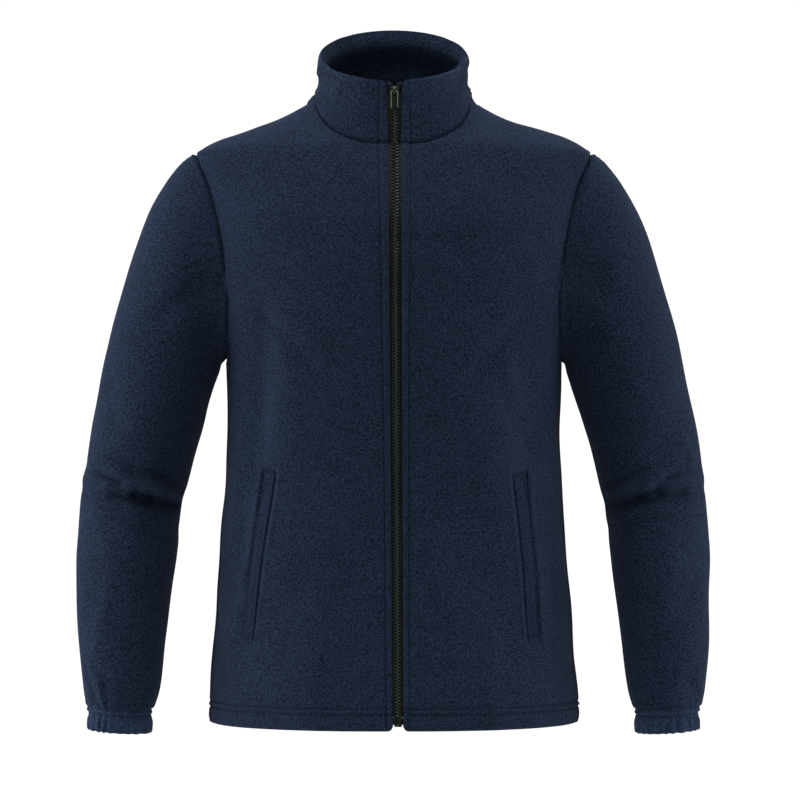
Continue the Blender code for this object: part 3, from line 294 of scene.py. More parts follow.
LEFT_SLEEVE_CREASES = rows_of(SleeveFold, (
    (58, -0.4415, 88, -0.4392, 0.0056, -0.0054),
    (88, -0.4392, 114, -0.4449, 0.0058, -0.0060),
    (114, -0.4449, 163, -0.4571, 0.0064, -0.0044),
    (50, -0.4137, 86, -0.4293, 0.0058, -0.0048),
    (52, -0.4330, 92, -0.4300, 0.0054, 0.0044),
    (92, -0.4300, 150, -0.4440, 0.0058, 0.0036),
    (42, -0.4080, 84, -0.4190, 0.0060, 0.0040),
    (45, -0.4555, 120, -0.4690, 0.0085, -0.0024),
    (110, -0.4230, 150, -0.4330, 0.0066, -0.0026),
    (60, -0.3900, 110, -0.4070, 0.0100, -0.0024),
    (30, -0.3300, 80, -0.3900, 0.0160, -0.0034),
    (70, -0.1250, 95, -0.2100, 0.0150, -0.0026),
    (120, -0.2700, 160, -0.3350, 0.0110, -0.0030),
    (80, -0.5250, 100, -0.5900, 0.0120, 0.0022),
    (60, -0.6500, 30, -0.6760, 0.0070, -0.0022),
    (-30, -0.4460, -85, -0.4370, 0.0060, -0.0044),
    (-50, -0.4280, -105, -0.4240, 0.0060, 0.0034),
    (-60, -0.4080, -135, -0.4180, 0.0075, -0.0040),
    (-90, -0.4680, -155, -0.4600, 0.0075, -0.0038),
    (-50, -0.5200, -85, -0.6000, 0.0130, -0.0034),
    (-40, -0.2300, -75, -0.3300, 0.0150, -0.0036),
))
RIGHT_SLEEVE_CREASES = rows_of(SleeveFold, (
    (70, -0.4438, 98, -0.4427, 0.0056, -0.0056),
    (98, -0.4427, 118, -0.4471, 0.0058, -0.0062),
    (118, -0.4471, 157, -0.4571, 0.0062, -0.0046),
    (42, -0.4140, 78, -0.4304, 0.0064, -0.0050),
    (45, -0.4555, 120, -0.4690, 0.0085, -0.0024),
    (78, -0.4059, 127, -0.4215, 0.0080, -0.0026),
    (127, -0.4215, 170, -0.4438, 0.0080, -0.0028),
    (90, -0.4750, 157, -0.4817, 0.0080, 0.0012),
    (62, -0.4350, 110, -0.4340, 0.0054, 0.0046),
    (110, -0.4340, 160, -0.4480, 0.0058, 0.0034),
    (44, -0.4050, 76, -0.4180, 0.0060, 0.0040),
    (110, -0.2100, 80, -0.2500, 0.0140, -0.0032),
    (40, -0.3300, 62, -0.3700, 0.0120, -0.0030),
    (130, -0.2850, 165, -0.3400, 0.0110, -0.0030),
    (75, -0.5550, 60, -0.6150, 0.0120, 0.0022),
    (46, -0.6300, 63, -0.6520, 0.0040, 0.0024),
    (63, -0.6520, 66, -0.6740, 0.0040, 0.0026),
    (36, -0.6400, 52, -0.6680, 0.0050, -0.0026),
    (-30, -0.4520, -80, -0.4400, 0.0060, -0.0044),
    (-45, -0.4320, -100, -0.4300, 0.0060, 0.0034),
    (-55, -0.4140, -130, -0.4210, 0.0075, -0.0040),
    (-90, -0.4640, -150, -0.4720, 0.0075, -0.0038),
    (-55, -0.5400, -80, -0.6200, 0.0130, -0.0034),
    (-40, -0.2500, -80, -0.3400, 0.0150, -0.0036),
))
COLLAR_CREASES = rows_of(BodyFold, (
    (1, 0.0560, -0.0060, 0.0780, 0.0270, 0.0052, 0.0028),
    (1, 0.0650, -0.0120, 0.0830, 0.0180, 0.0064, -0.0036),
    (1, -0.0690, 0.0100, -0.0790, 0.0320, 0.0060, -0.0028),
    (1, -0.0620, 0.0060, -0.0710, 0.0300, 0.0056, 0.0018),
    (1, 0.0880, 0.0100, 0.0860, 0.0340, 0.0200, -0.0042),
    (-1, 0.0880, 0.0100, 0.0860, 0.0340, 0.0200, -0.0042),
    (1, -0.0890, 0.0130, -0.0880, 0.0250, 0.0160, -0.0028),
    (-1, -0.0890, 0.0130, -0.0880, 0.0250, 0.0160, -0.0028),
    (-1, 0.0400, 0.0350, 0.0620, 0.0700, 0.0060, -0.0010),
    (-1, -0.0300, 0.0400, -0.0500, 0.0750, 0.0060, -0.0012),
))

# ---------------------------------------------------------------- spacing of the cloth's points
CELL = 0.0045
HALF_FRONT = 0.2500       # nominal width of one front, zip to side seam
SEAM_STEPS = (0.0, 0.0010, 0.0022, 0.0036, 0.0055, 0.0080)
ZIP_STITCH = 0.0085       # topstitching beside the zip
ZIP_STEPS = (0.0, 0.0003, 0.0008, 0.0014, 0.0022, 0.0034, 0.0050, 0.0064, 0.0073, 0.0079,
             ZIP_STITCH, 0.0091, 0.0098, 0.0110, 0.0135)
HEM_STITCHES = (0.0186, 0.0244)
HEM_STEPS = (0.0, 0.0003, 0.0009, 0.0017, 0.0026, 0.0042, 0.0070, 0.0105, 0.0140, 0.0163,
             0.0174, 0.0180, HEM_STITCHES[0], 0.0192, 0.0199, 0.0209, 0.0221, 0.0232, 0.0238,
             HEM_STITCHES[1], 0.0250, 0.0257, 0.0269, 0.0290)
POCKET_BAND = (0.0950, 0.1850)   # columns this far from the zip, under the pockets, are finer
POCKET_FINENESS = 3
RIM_STEPS = (0.0, 0.0002, 0.0006, 0.0012, 0.0020, 0.0030, 0.0042, 0.0060, 0.0085)
CUFF_STITCH = 0.0058
CUFF_DROPS = (0.0, 0.0007, 0.0015, 0.0026, 0.0038, 0.0047, 0.0053, CUFF_STITCH, 0.0063, 0.0070,
              0.0082, 0.0102, 0.0128, 0.0158, 0.0188, 0.0212, 0.0230, 0.0244, 0.0254, 0.0261,
              CUFF_HEIGHT)
CUFF_POINTS = 264
CUFF_SAG = np.array((-0.0012, 0.0, -0.0030))   # worn cuffs sag this far below the CAD's
LEAN_FADE = 0.0080        # a seam's shared direction fades into the piece's own over this

# ---------------------------------------------------------------- relief
SEAM_WIDTH = 0.0016
SWELL_AT = 0.0045         # the soft cloth swells this far from a seam or a stitched line
SWELL_WIDTH = 0.0028
STITCH_WIDTH = 0.0011
SEAM_SWELL = 0.0004       # height of the cloth's swell on both sides of any seam
# and how much more it swells beside some of them
ARMHOLE_RIDGE = 0.0016
COLLAR_RIDGE = 0.0004
SIDE_RIDGES = {"back": 0.0013, "front": 0.0004}
CUFF_SEAM_SHARE = 0.75    # a cuff's seam sinks this share of a stitched line's depth
ZIP_EDGE_RADIUS = 0.0022
HEM_RADIUS = 0.00245
CUFF_RADIUS = 0.00245
COLLAR_FORWARD = 0.0100   # the soft collar's rim stands this much further forward than the CAD's
RIM_OUTER_ROLL = 0.0045   # height over which the collar's rim rolls over, outside
RIM_INNER_ROLL = 0.0200   # and inside, at the sides and the back
LEAST_WALL = 0.0001
GATHERS = 22
GATHER_PHASES = {"left": 0.6, "right": 2.3}

# A soft ridge at a distance from an edge, or a groove where its height is negative.
Swell = namedtuple("Swell", "height at width")
ZIP_PAD = Swell(0.0008, 0.0044, 0.0026)
HEM_PUFF = Swell(0.0013, 0.0080, 0.0070)
HEM_RIDGE = Swell(0.0009, (HEM_STITCHES[0] + HEM_STITCHES[1]) / 2, 0.0018)
CUFF_RIDGE = Swell(0.0004, CUFF_STITCH / 2, 0.0018)
WELT_RIDGE = Swell(0.0009, 0.0016, 0.0010)
WELT_TUCK = Swell(-0.0012, 0.0, 0.0050)
WELT_TACK = Swell(-0.0012, 0.0030, 0.0012)
# beside each long edge of a pocket, by the way off the welt
PocketEdge = namedtuple("PocketEdge", "name outward groove swell")
POCKET_EDGES = (
    PocketEdge("inner_x", -1, Swell(-0.0004, 0.0008, 0.0013), Swell(0.0013, 0.0050, 0.0032)),
    PocketEdge("outer_x", 1, Swell(-0.0034, 0.0008, 0.0013), Swell(0.0008, 0.0050, 0.0032)),
)
POCKET_SLANT = 1.2        # the surface beside a pocket is this much longer than its x
POCKET_FADE = (18, 0.9)   # how fast its grooves fade at its ends, and how far past them

RAY_REACH = (0.5, 1.6)    # shares of a ray between which the form is looked for
RAY_HALVINGS = 30
CLOSEST_TURNS = 0.4       # the armhole's points are no closer than this share of a cell
SAG_ROW = 15              # the sleeve starts to sag at this row of its table
COLLAR_CORNER_EASE = 0.6      # angle over which the collar's ends ease to its rim's corners
COLLAR_SWELL_AT = (0.0, 0.16, 0.48, 0.74, 1.0)   # shares of the collar's height
COLLAR_SWELLS = (0.0, 0.0014, 0.0022, 0.0018, 0.0006)
COLLAR_LEAN = (0.03, 0.35)    # angles from the zip where the forward lean starts, and its run
COLLAR_LEAN_POWER = 1.3
CUFF_KNOWN = (0.0, 0.24, 0.55, 0.88, 1.0)        # shares of the cuff's height
CUFF_SWELLS = (0.0, -0.0006, 0.0014, 0.0012, 0.0002)
CUFF_DEPTHS = (0.0004, 0.0005, 0.0018, 0.0017, 0.0012)
CUFF_DRAWN_IN = 0.0036    # the elastic draws the outer line in this far
CUFF_SLANT = 0.0014       # the inner line hangs this much lower than the outer one
CUFF_RAISE = 0.0010
CUFF_FRINGE = 0.0007


# ---------------------------------------------------------------- small maths
def column(table, name):
    return np.array([getattr(row, name) for row in table], dtype=float)


def smooth_curve(known, values, at):
    """Monotone cubic through the known values, flat where they turn."""
    known, values, at = (np.asarray(a, dtype=float) for a in (known, values, at))
    step = np.diff(known)
    slope = np.diff(values) / step
    tangent = np.empty_like(values)
    tangent[0], tangent[-1] = slope[0], slope[-1]
    same_way = slope[1:] * slope[:-1] > 0
    weight_a, weight_b = 2 * step[1:] + step[:-1], step[1:] + 2 * step[:-1]
    before = np.where(same_way, slope[:-1], 1.0)
    after = np.where(same_way, slope[1:], 1.0)
    mean = (weight_a + weight_b) / (weight_a / before + weight_b / after)
    tangent[1:-1] = np.where(same_way, mean, 0.0)
    cell = np.clip(np.searchsorted(known, at, side="right") - 1, 0, len(step) - 1)
    t = np.clip((at - known[cell]) / step[cell], 0.0, 1.0)
    width = step[cell]
    return ((1 + 2 * t) * (1 - t) ** 2 * values[cell] + t * (1 - t) ** 2 * width * tangent[cell]
            + t * t * (3 - 2 * t) * values[cell + 1] + t * t * (t - 1) * width * tangent[cell + 1])


def smooth_step(t):
    t = np.clip(t, 0.0, 1.0)
    return t * t * (3 - 2 * t)


def mix(a, b, t):
    return a + (b - a) * t


def bell(distance, width):
    return np.exp(-(distance / width) ** 2)


def unit(vectors):
    length = np.linalg.norm(vectors, axis=-1, keepdims=True)
    return vectors / np.maximum(length, 1e-12)


def stack(x, y, z):
    return np.stack(np.broadcast_arrays(x, y, z), axis=-1).astype(float)


def on_side(points, side):
    """Points of the wearer's left, mirrored for the right."""
    return points if side > 0 else points * (-1, 1, 1)


def crease(across, along, width, depth):
    """Bell-shaped ridge or trough that fades out past both of its ends."""
    past_end = np.maximum(np.maximum(-along, along - 1.0), 0.0)
    return depth * np.exp(-(across / width) ** 2 - (past_end / FOLD_FADE) ** 2)


def segment_coordinates(u, v, u_a, v_a, u_b, v_b):
    """Distance across a segment, and the fraction of the way along it."""
    length = math.hypot(u_b - u_a, v_b - v_a)
    du, dv = (u_b - u_a) / length, (v_b - v_a) / length
    along = ((u - u_a) * du + (v - v_a) * dv) / length
    across = -(u - u_a) * dv + (v - v_a) * du
    return across, along


def graded(length, cell, start=(0.0,), end=(0.0,)):
    """Distances from 0 to length, close together at the given ends and even between."""
    first, last = start[-1], length - end[-1]
    count = max(1, round((last - first) / cell))
    even = np.linspace(first, last, count + 1)
    return np.concatenate([start[:-1], even, length - np.array(end[-2::-1])])


def arc_length(points, axis=0):
    """Distance travelled along a line or along one axis of a grid."""
    step = np.linalg.norm(np.diff(points, axis=axis), axis=-1)
    start = np.zeros_like(np.take(step, [0], axis=axis))
    return np.concatenate([start, np.cumsum(step, axis=axis)], axis=axis)


def at_distance(distance, arc, values):
    """Values at distances along a line, given at points whose own distances are arc."""
    return np.stack([np.interp(distance, arc, values[:, k]) for k in range(3)], -1)


def along_path(path, share):
    """Points at a share of the length of a finely sampled path."""
    arc = arc_length(path)
    return at_distance(share * arc[-1], arc, path)


# ---------------------------------------------------------------- body form
def body_section(z):
    known = column(BODY, "z")
    return [smooth_curve(known, column(BODY, name), z)
            for name in ("half_width", "front", "back", "squareness")]


def depth_at(x, z, side):
    """Distance of the form from the shoulder line, forward (side 1) or back (side -1)."""
    half_width, front, back, squareness = body_section(z)
    share = np.clip(np.abs(x) / half_width, 0.0, 1.0)
    reach = front if side > 0 else back
    return reach * (1 - share ** squareness) ** (1 / squareness)


def at_angle(angle, z):
    """Point of the form at an angle from the centre front, 90 degrees at the side."""
    half_width, front, back, squareness = body_section(z)
    sine, cosine = np.sin(angle), np.cos(angle)
    reach = np.where(cosine >= 0, front, back)
    share = np.abs(sine / half_width) ** squareness + np.abs(cosine / reach) ** squareness
    radius = share ** (-1 / squareness)
    return stack(radius * sine, -radius * cosine, z)


def outside_by(points):
    """Positive outside the form, negative inside."""
    half_width, front, back, squareness = body_section(points[..., 2])
    reach = np.where(points[..., 1] <= 0, front, back)
    return (np.abs(points[..., 0]) / half_width) ** squareness \
        + (np.abs(points[..., 1]) / reach) ** squareness - 1.0


def form_middle(points):
    return stack(0.0, 0.0, np.minimum(points[..., 2], CHEST_Z))


def onto_form(points):
    """Slides points out or in, level below the chest and fanwise above it, onto the form."""
    centre = form_middle(points)
    ray = points - centre
    low, high = (np.full(points.shape[:-1], share) for share in RAY_REACH)
    for _ in range(RAY_HALVINGS):
        middle = (low + high) / 2
        outside = outside_by(centre + ray * middle[..., None]) > 0
        high = np.where(outside, middle, high)
        low = np.where(outside, low, middle)
    return centre + ray * high[..., None]


def fold_amount(points, folds, x):
    """How far a table of folds moves each point out; x is given with or without its sign."""
    amount = np.zeros(points.shape[:-1])
    for fold in folds:
        across, along = segment_coordinates(x, points[..., 2],
                                            fold.x_a, fold.z_a, fold.x_b, fold.z_b)
        on_side = smooth_step(0.5 - fold.side * points[..., 1] / FOLD_SIDE_BLEND)
        amount += crease(across, along, fold.width, fold.depth) * on_side
    return amount


def drape(points):
    """Moves points of the form out or in by the folds that both sides share."""
    amount = fold_amount(points, BODY_FOLDS, np.abs(points[..., 0]))
    return points + unit(points - form_middle(points)) * amount[..., None]


Ripple = namedtuple("Ripple", "turn_x turn_y turn_z phase height")   # turns in radians a metre
RIPPLES = rows_of(Ripple, (
    (41.0, 13.0, 19.0, 0.4, 0.00050),
    (-23.0, 37.0, 47.0, 1.9, 0.00045),
    (67.0, -29.0, 31.0, 4.1, 0.00030),
    (-53.0, 59.0, -83.0, 2.6, 0.00022),
    (97.0, 71.0, 61.0, 5.3, 0.00016),
))


def ripple(points):
    """Low unevenness of slack cloth, the same on both sides of every seam."""
    amount = np.zeros(points.shape[:-1])
    for row in RIPPLES:
        turns = np.array((row.turn_x, row.turn_y, row.turn_z))
        amount += row.height * np.sin(points @ turns + row.phase)
    return amount


# ---------------------------------------------------------------- seam lines of the body
def zip_x(z):
    return mix(ZIP_BOTTOM_X, ZIP_TOP_X, (z - HEM_Z) / (NECK_SIDE_Z - HEM_Z))


def opening(z):
    return mix(OPENING_BOTTOM, OPENING_TOP, (z - HEM_Z) / (NECK_SIDE_Z - HEM_Z))


def front_edge(z, side):
    """Edge of one front beside the zip, in that front's own x, positive towards its side."""
    x = opening(z) + side * zip_x(z)
    return stack(x, -depth_at(x, z, 1), z)


def side_seam(z):
    forward = SIDE_SEAM_FORWARD * (ARMPIT_Z - z) / (ARMPIT_Z - HEM_Z)
    return at_angle(math.pi / 2 - forward, z)


def armhole(turn, side):
    """Armhole seam, an oval from the armpit (turn 0) to the shoulder tip (turn 1)."""
    swing = np.pi * turn
    rise = mix(turn, (1 - np.cos(swing)) / 2, ARMHOLE_ROUND)
    cut = ARMHOLE_FRONT if side > 0 else ARMHOLE_BACK
    bite = cut * np.sin(swing) * (1 + ARMHOLE_SCOOP * np.cos(swing))
    return at_angle(math.pi / 2 - side * bite, mix(ARMPIT_Z, SHOULDER_TIP_Z, rise))


@lru_cache(maxsize=1)
def armhole_turns():
    """Turns of the armhole's points, close together at the armpit and the shoulder tip."""
    even = np.linspace(0, 1, PATH_SAMPLES)
    path = armhole(even, 1)
    arc = arc_length(path)
    by_length = np.interp(graded(arc[-1], CELL, SEAM_STEPS), arc, even)
    by_height = np.interp(SHOULDER_TIP_Z - np.array(SEAM_STEPS[1:]), path[:, 2], even)
    nearest = np.min(np.abs(by_length[:, None] - by_height[None]), axis=1)
    apart = nearest > CLOSEST_TURNS * CELL / arc[-1]
    return np.sort(np.concatenate([by_length[apart], by_height]))


def shoulder_seam(share):
    z = np.linspace(NECK_SIDE_Z, SHOULDER_TIP_Z, PATH_SAMPLES)
    return along_path(at_angle(np.full_like(z, math.pi / 2), z), share)


def neck_seam_front(share, side):
    steps = np.linspace(0, len(NECK_SEAM_FRONT) - 1, PATH_SAMPLES)
    rows = np.arange(len(NECK_SEAM_FRONT))
    x = smooth_curve(rows, column(NECK_SEAM_FRONT, "x"), steps)
    z = smooth_curve(rows, column(NECK_SEAM_FRONT, "z"), steps)
    edge_x = front_edge(np.array(NECK_FRONT_Z), side)[0]
    x = mix(edge_x, x[-1], (x - x[0]) / (x[-1] - x[0]))
    return along_path(stack(x, -depth_at(x, z, 1), z), share)


def neck_seam_back(share):
    """From the centre back (share 0) to the neck side (share 1)."""
    angle = math.pi - np.linspace(0, math.pi / 2, PATH_SAMPLES)
    z = mix(NECK_BACK_Z, NECK_SIDE_Z, smooth_step((math.pi - angle) / (math.pi / 2)))
    return along_path(at_angle(angle, z), share)


def top_line(columns, neck):
    """Neck seam up to half way, shoulder seam beyond."""
    on_neck = neck(np.clip(columns * 2, 0, 1))
    on_shoulder = shoulder_seam(np.clip(columns * 2 - 1, 0, 1))
    return np.where((columns <= 0.5)[:, None], on_neck, on_shoulder)


def patch(bottom, top, left, right, columns, rows):
    """Blends four edge lines into one sheet and lays it on the body form."""
    u, v = columns[None, :, None] ** SIDE_PULL, rows[:, None, None] ** NECK_PULL
    sheet = ((1 - v) * bottom[None] + v * top[None] + (1 - u) * left[:, None] + u * right[:, None]
             - (1 - u) * (1 - v) * bottom[0] - u * (1 - v) * bottom[-1]
             - (1 - u) * v * top[0] - u * v * top[-1])
    sheet = onto_form(sheet)
    sheet[0], sheet[-1], sheet[:, 0], sheet[:, -1] = bottom, top, left, right
    return drape(sheet)


def side_line(side):
    """Side seam and armhole as one edge, with each row's height as a share of it."""
    heights = HEM_Z + graded(ARMPIT_Z - HEM_Z, CELL, HEM_STEPS)
    line = np.concatenate([side_seam(heights), armhole(armhole_turns(), side)[1:]])
    return line, (line[:, 2] - HEM_Z) / (SHOULDER_TIP_Z - HEM_Z)


def middle_heights(side_heights, neck_z):
    """Heights at the zip or centre back: rows run level below the armpits and fan out above."""
    above = (side_heights - ARMPIT_Z) / (SHOULDER_TIP_Z - ARMPIT_Z)
    return np.where(above > 0, mix(ARMPIT_Z, neck_z, above), side_heights)


def panel_columns(start):
    """Shares of a half panel's width, with the neck side exactly half way."""
    to_neck_side = graded(HALF_FRONT / 2, CELL, start)
    to_side = graded(HALF_FRONT / 2, CELL, (0.0,), SEAM_STEPS)
    columns = np.concatenate([to_neck_side, HALF_FRONT / 2 + to_side[1:]])
    between = [np.linspace(a, b, POCKET_FINENESS, endpoint=False)[1:]
               for a, b in zip(columns, columns[1:]) if POCKET_BAND[0] < a < POCKET_BAND[1]]
    return np.sort(np.concatenate([columns] + between)) / HALF_FRONT


def front_panel(side):
    """One front, in its own x; side is +1 for the wearer's left."""
    right, rows = side_line(1)
    left = front_edge(middle_heights(right[:, 2], NECK_FRONT_Z), side)
    columns = panel_columns(ZIP_STEPS)
    start = math.atan2(left[0, 0], -left[0, 1])
    end = math.atan2(right[0, 0], -right[0, 1])
    bottom = at_angle(mix(start, end, columns), np.full_like(columns, HEM_Z))
    top = top_line(columns, lambda share: neck_seam_front(share, side))
    panel = patch(bottom, top, left, right, columns, rows)
    corner = HEM_CORNER - np.minimum(panel[0, :, 0] - panel[0, 0, 0], HEM_CORNER)
    lift = HEM_CORNER - np.sqrt(HEM_CORNER ** 2 - corner ** 2)
    lifted = panel[:, 0, 2] < HEM_Z + HEM_TURN
    share = 1 - (panel[lifted, 0, 2] - HEM_Z) / HEM_TURN
    panel[lifted, :, 2] += lift[None, :] * share[:, None]
    return panel


def back_panel():
    """The back, from the wearer's right side seam to the left one."""
    right, rows = side_line(-1)
    columns = panel_columns((0.0,))
    heights = middle_heights(right[:, 2], NECK_BACK_Z)
    left = at_angle(np.full_like(heights, math.pi), heights)
    end = math.atan2(right[0, 0], -right[0, 1])
    bottom = at_angle(mix(math.pi, end, columns), np.full_like(columns, HEM_Z))
    half = patch(bottom, top_line(columns, neck_seam_back), left, right, columns, rows)
    half[:, 0, 0] = 0.0
    return np.concatenate([half[:, :0:-1] * (-1, 1, 1), half], axis=1)


# ---------------------------------------------------------------- sleeve
def armhole_ring():
    """The armhole's points, from the shoulder tip down the front and up the back."""
    turns = armhole_turns()
    front, back = armhole(turns[::-1], 1), armhole(turns, -1)
    return drape(np.concatenate([front[:-1], back[:-1]]))


def sleeve_form(at, angle):
    """Oval sections between the sleeve's outer and inner lines."""
    rows = np.arange(len(SLEEVE))
    values = {name: smooth_curve(rows, column(SLEEVE, name), at)
              for name in SleeveSection._fields}
    outer = stack(values["outer_x"], values["y"], values["outer_z"])
    inner = stack(values["inner_x"], values["y"], values["inner_z"])
    middle, arm = (outer + inner) / 2, (outer - inner) / 2
    forward = stack(0.0, -values["half_depth"], 0.0)
    return middle + arm * np.cos(angle)[..., None] + forward * np.sin(angle)[..., None], middle


def sleeve_folds(points, middle, angle, folds):
    """Moves sleeve points towards or away from the sleeve's middle by its creases."""
    turn = (np.degrees(angle) + 180.0) % 360.0 - 180.0
    amount = np.zeros(angle.shape)
    for fold in folds:
        for lap in (-360.0, 0.0, 360.0):
            across, along = segment_coordinates(
                np.radians(turn + lap) * ARM_RADIUS, points[..., 2],
                math.radians(fold.angle_a) * ARM_RADIUS, fold.z_a,
                math.radians(fold.angle_b) * ARM_RADIUS, fold.z_b)
            amount += crease(across, along, fold.width, fold.depth)
    return points + unit(points - middle) * amount[..., None]


def sleeve_angles():
    """Angles round the sleeve, which the armhole's turns set."""
    turns = armhole_turns()
    return math.pi * np.concatenate([1 - turns[::-1][:-1], 1 + turns[:-1]])


def sleeve_places():
    """Places of the sleeve's rings in its table, even along its middle and close at its ends."""
    fine = np.linspace(0, len(SLEEVE) - 1, PATH_SAMPLES)
    _, middle = sleeve_form(fine, np.zeros_like(fine))
    arc = arc_length(middle)
    return np.interp(graded(arc[-1], CELL, SEAM_STEPS, SEAM_STEPS), arc, fine)


def sleeve(creases):
    """Rings from the armhole to the wrist, for the wearer's left arm."""
    at, angle = np.broadcast_arrays(sleeve_places()[:, None], sleeve_angles()[None, :])
    rings, middle = sleeve_form(at, angle)
    ring = armhole_ring()
    ease = 1 - smooth_step(at / SLEEVE_CAP_ROWS)
    rings = rings + (ring - rings[0])[None] * ease[..., None]
    rings = sleeve_folds(rings, middle, angle, SLEEVE_FOLDS + creases)
    rings = rings + CUFF_SAG * smooth_step((at[..., None] - SAG_ROW) / (len(SLEEVE) - 1 - SAG_ROW))
    rings[0] = ring
    return rings


# ---------------------------------------------------------------- collar and cuff
def collar(neck_line):
    """Rows from the neck seam to the rolled rim, from the right front edge round the back."""
    centre_y = (RIM_FRONT_Y + RIM_BACK_Y) / 2
    half_depth = (RIM_BACK_Y - RIM_FRONT_Y) / 2
    x, y = neck_line[:, 0], neck_line[:, 1]
    angle = np.arctan2(x / NECK_HALF_WIDTH, (NECK_MIDDLE_Y - y) / NECK_HALF_DEPTH)
    for end, side in ((0, -1), (-1, 1)):
        corner = math.asin(front_edge(np.array(0.0), side)[0] * side / RIM_HALF_WIDTH)
        ease = 1 - smooth_step(np.abs(angle - angle[end]) / COLLAR_CORNER_EASE)
        angle = angle + (corner - angle[end]) * ease * (np.sign(angle) == side)
    rim_x = RIM_HALF_WIDTH * np.sin(angle)
    rim_y = centre_y - half_depth * np.cos(angle)
    rim_z = RIM_MIDDLE_Z + RIM_SLOPE * rim_y
    for end in (0, -1):
        inward = np.clip(RIM_CORNER - np.abs(rim_x - rim_x[end]), 0, RIM_CORNER)
        near = np.where(rim_y < centre_y, inward, 0.0)
        rim_z = rim_z - (RIM_CORNER - np.sqrt(RIM_CORNER ** 2 - near ** 2))
    rim = stack(rim_x, rim_y, rim_z)
    outward = unit(stack(np.sin(angle), -np.cos(angle), 0.0))
    height = float(np.median(np.linalg.norm(rim - neck_line, axis=1)))
    rises = graded(height, CELL, SEAM_STEPS, RIM_STEPS) / height
    swells = smooth_curve(COLLAR_SWELL_AT, COLLAR_SWELLS, rises)
    from_zip = np.minimum(np.abs(angle - angle[0]), np.abs(angle[-1] - angle))
    start, run = COLLAR_LEAN
    lean = np.clip(np.cos(angle), 0, 1) ** 2 * smooth_step((from_zip - start) / run)
    forward = stack(0.0, -COLLAR_FORWARD * lean, 0.0)
    return np.array([mix(neck_line, rim, rise) + outward * swell
                     + forward * rise ** COLLAR_LEAN_POWER for rise, swell in zip(rises, swells)])


def uneven_gathers(angle, phase):
    """Wave of the elastic's gathers: unequal in width, deepest on the outer side."""
    warped = GATHERS * angle + 1.3 * np.sin(3 * angle + phase) + 0.8 * np.sin(7 * angle + 2 * phase)
    strength = 0.50 + 0.32 * np.cos(angle) + 0.18 * np.sin(5 * angle + phase)
    return np.cos(warped) * strength


def cuff(phase):
    """Rings of the gathered cuff, from its seam to its lower edge, left arm."""
    angle = np.linspace(0, 2 * math.pi, CUFF_POINTS, endpoint=False)
    out = stack(math.cos(CUFF_TILT), 0.0, math.sin(CUFF_TILT))
    down = stack(math.sin(CUFF_TILT), 0.0, -math.cos(CUFF_TILT))
    top = stack(CUFF_X, CUFF_Y, CUFF_TOP_Z) + CUFF_SAG
    drops = np.array(CUFF_DROPS)
    known = np.array(CUFF_KNOWN) * CUFF_HEIGHT
    swells = smooth_curve(known, CUFF_SWELLS, drops)
    depths = smooth_curve(known, CUFF_DEPTHS, drops)
    wave = uneven_gathers(angle, phase)
    rings = []
    for drop, swell, depth in zip(drops, swells, depths):
        bulge = swell + depth * wave
        along = drop / CUFF_HEIGHT
        drawn_in = CUFF_DRAWN_IN * smooth_step(along * 2) * np.clip(np.cos(angle), 0, 1) ** 2
        across = (CUFF_HALF_WIDTH + bulge) * np.cos(angle) - drawn_in
        forward = (CUFF_HALF_DEPTH + bulge) * np.sin(angle)
        hang = CUFF_FRINGE * wave + CUFF_SLANT * (1 - np.cos(angle)) / 2 - CUFF_RAISE
        fall = drop + hang * smooth_step(along)
        ring = top + down * fall[:, None] + out * across[:, None]
        rings.append(ring + stack(0.0, -forward, 0.0))
    return np.array(rings)


# ---------------------------------------------------------------- cloth pieces
class ClothPiece:
    """One cut piece: points of its outer face, the edges that are seams, and its winding."""

    def __init__(self, name, points, seams, flip=False, ring=False):
        self.name = name
        self.points = points
        self.seams = seams
        self.flip = flip
        self.ring = ring
        self.normals = self.face_out()
        down, across = arc_length(points, 0), arc_length(points, 1)
        self.distance = {"first_row": down, "last_row": down[-1] - down,
                         "first_column": across, "last_column": across[:, -1:] - across}

    def face_out(self):
        if self.ring:
            along = np.roll(self.points, -1, axis=1) - np.roll(self.points, 1, axis=1)
        else:
            along = np.gradient(self.points, axis=1)
        normals = unit(np.cross(along, np.gradient(self.points, axis=0)))
        return -normals if self.flip else normals

    def seam_spots(self):
        rows, columns = self.points.shape[:2]
        spots = set()
        for edge in self.seams:
            if edge.endswith("row"):
                row = 0 if edge == "first_row" else rows - 1
                spots.update((row, col) for col in range(columns))
            else:
                col = 0 if edge == "first_column" else columns - 1
                spots.update((row, col) for row in range(rows))
        return sorted(spots)

    def lean_seams(self, directions):
        """Takes the shared direction at each seam and eases into it near the seam."""
        changes = np.zeros_like(self.normals)
        for spot, direction in directions.items():
            changes[spot] = direction - self.normals[spot]
        total, weights = np.zeros_like(self.normals), np.zeros(self.points.shape[:2])
        edges = {"first_row": np.s_[:1, :], "last_row": np.s_[-1:, :],
                 "first_column": np.s_[:, :1], "last_column": np.s_[:, -1:]}
        for edge in self.seams:
            weight = 1 - smooth_step(self.distance[edge] / LEAN_FADE)
            total += changes[edges[edge]] * weight[..., None]
            weights += weight
        self.normals = self.normals + total / np.maximum(weights, 1.0)[..., None]
        for spot, direction in directions.items():
            self.normals[spot] = direction


BODY_PIECES = ("front_left", "front_right", "back")
SAME_POINT = 1e-5
SHARPEST_MITRE = 0.62


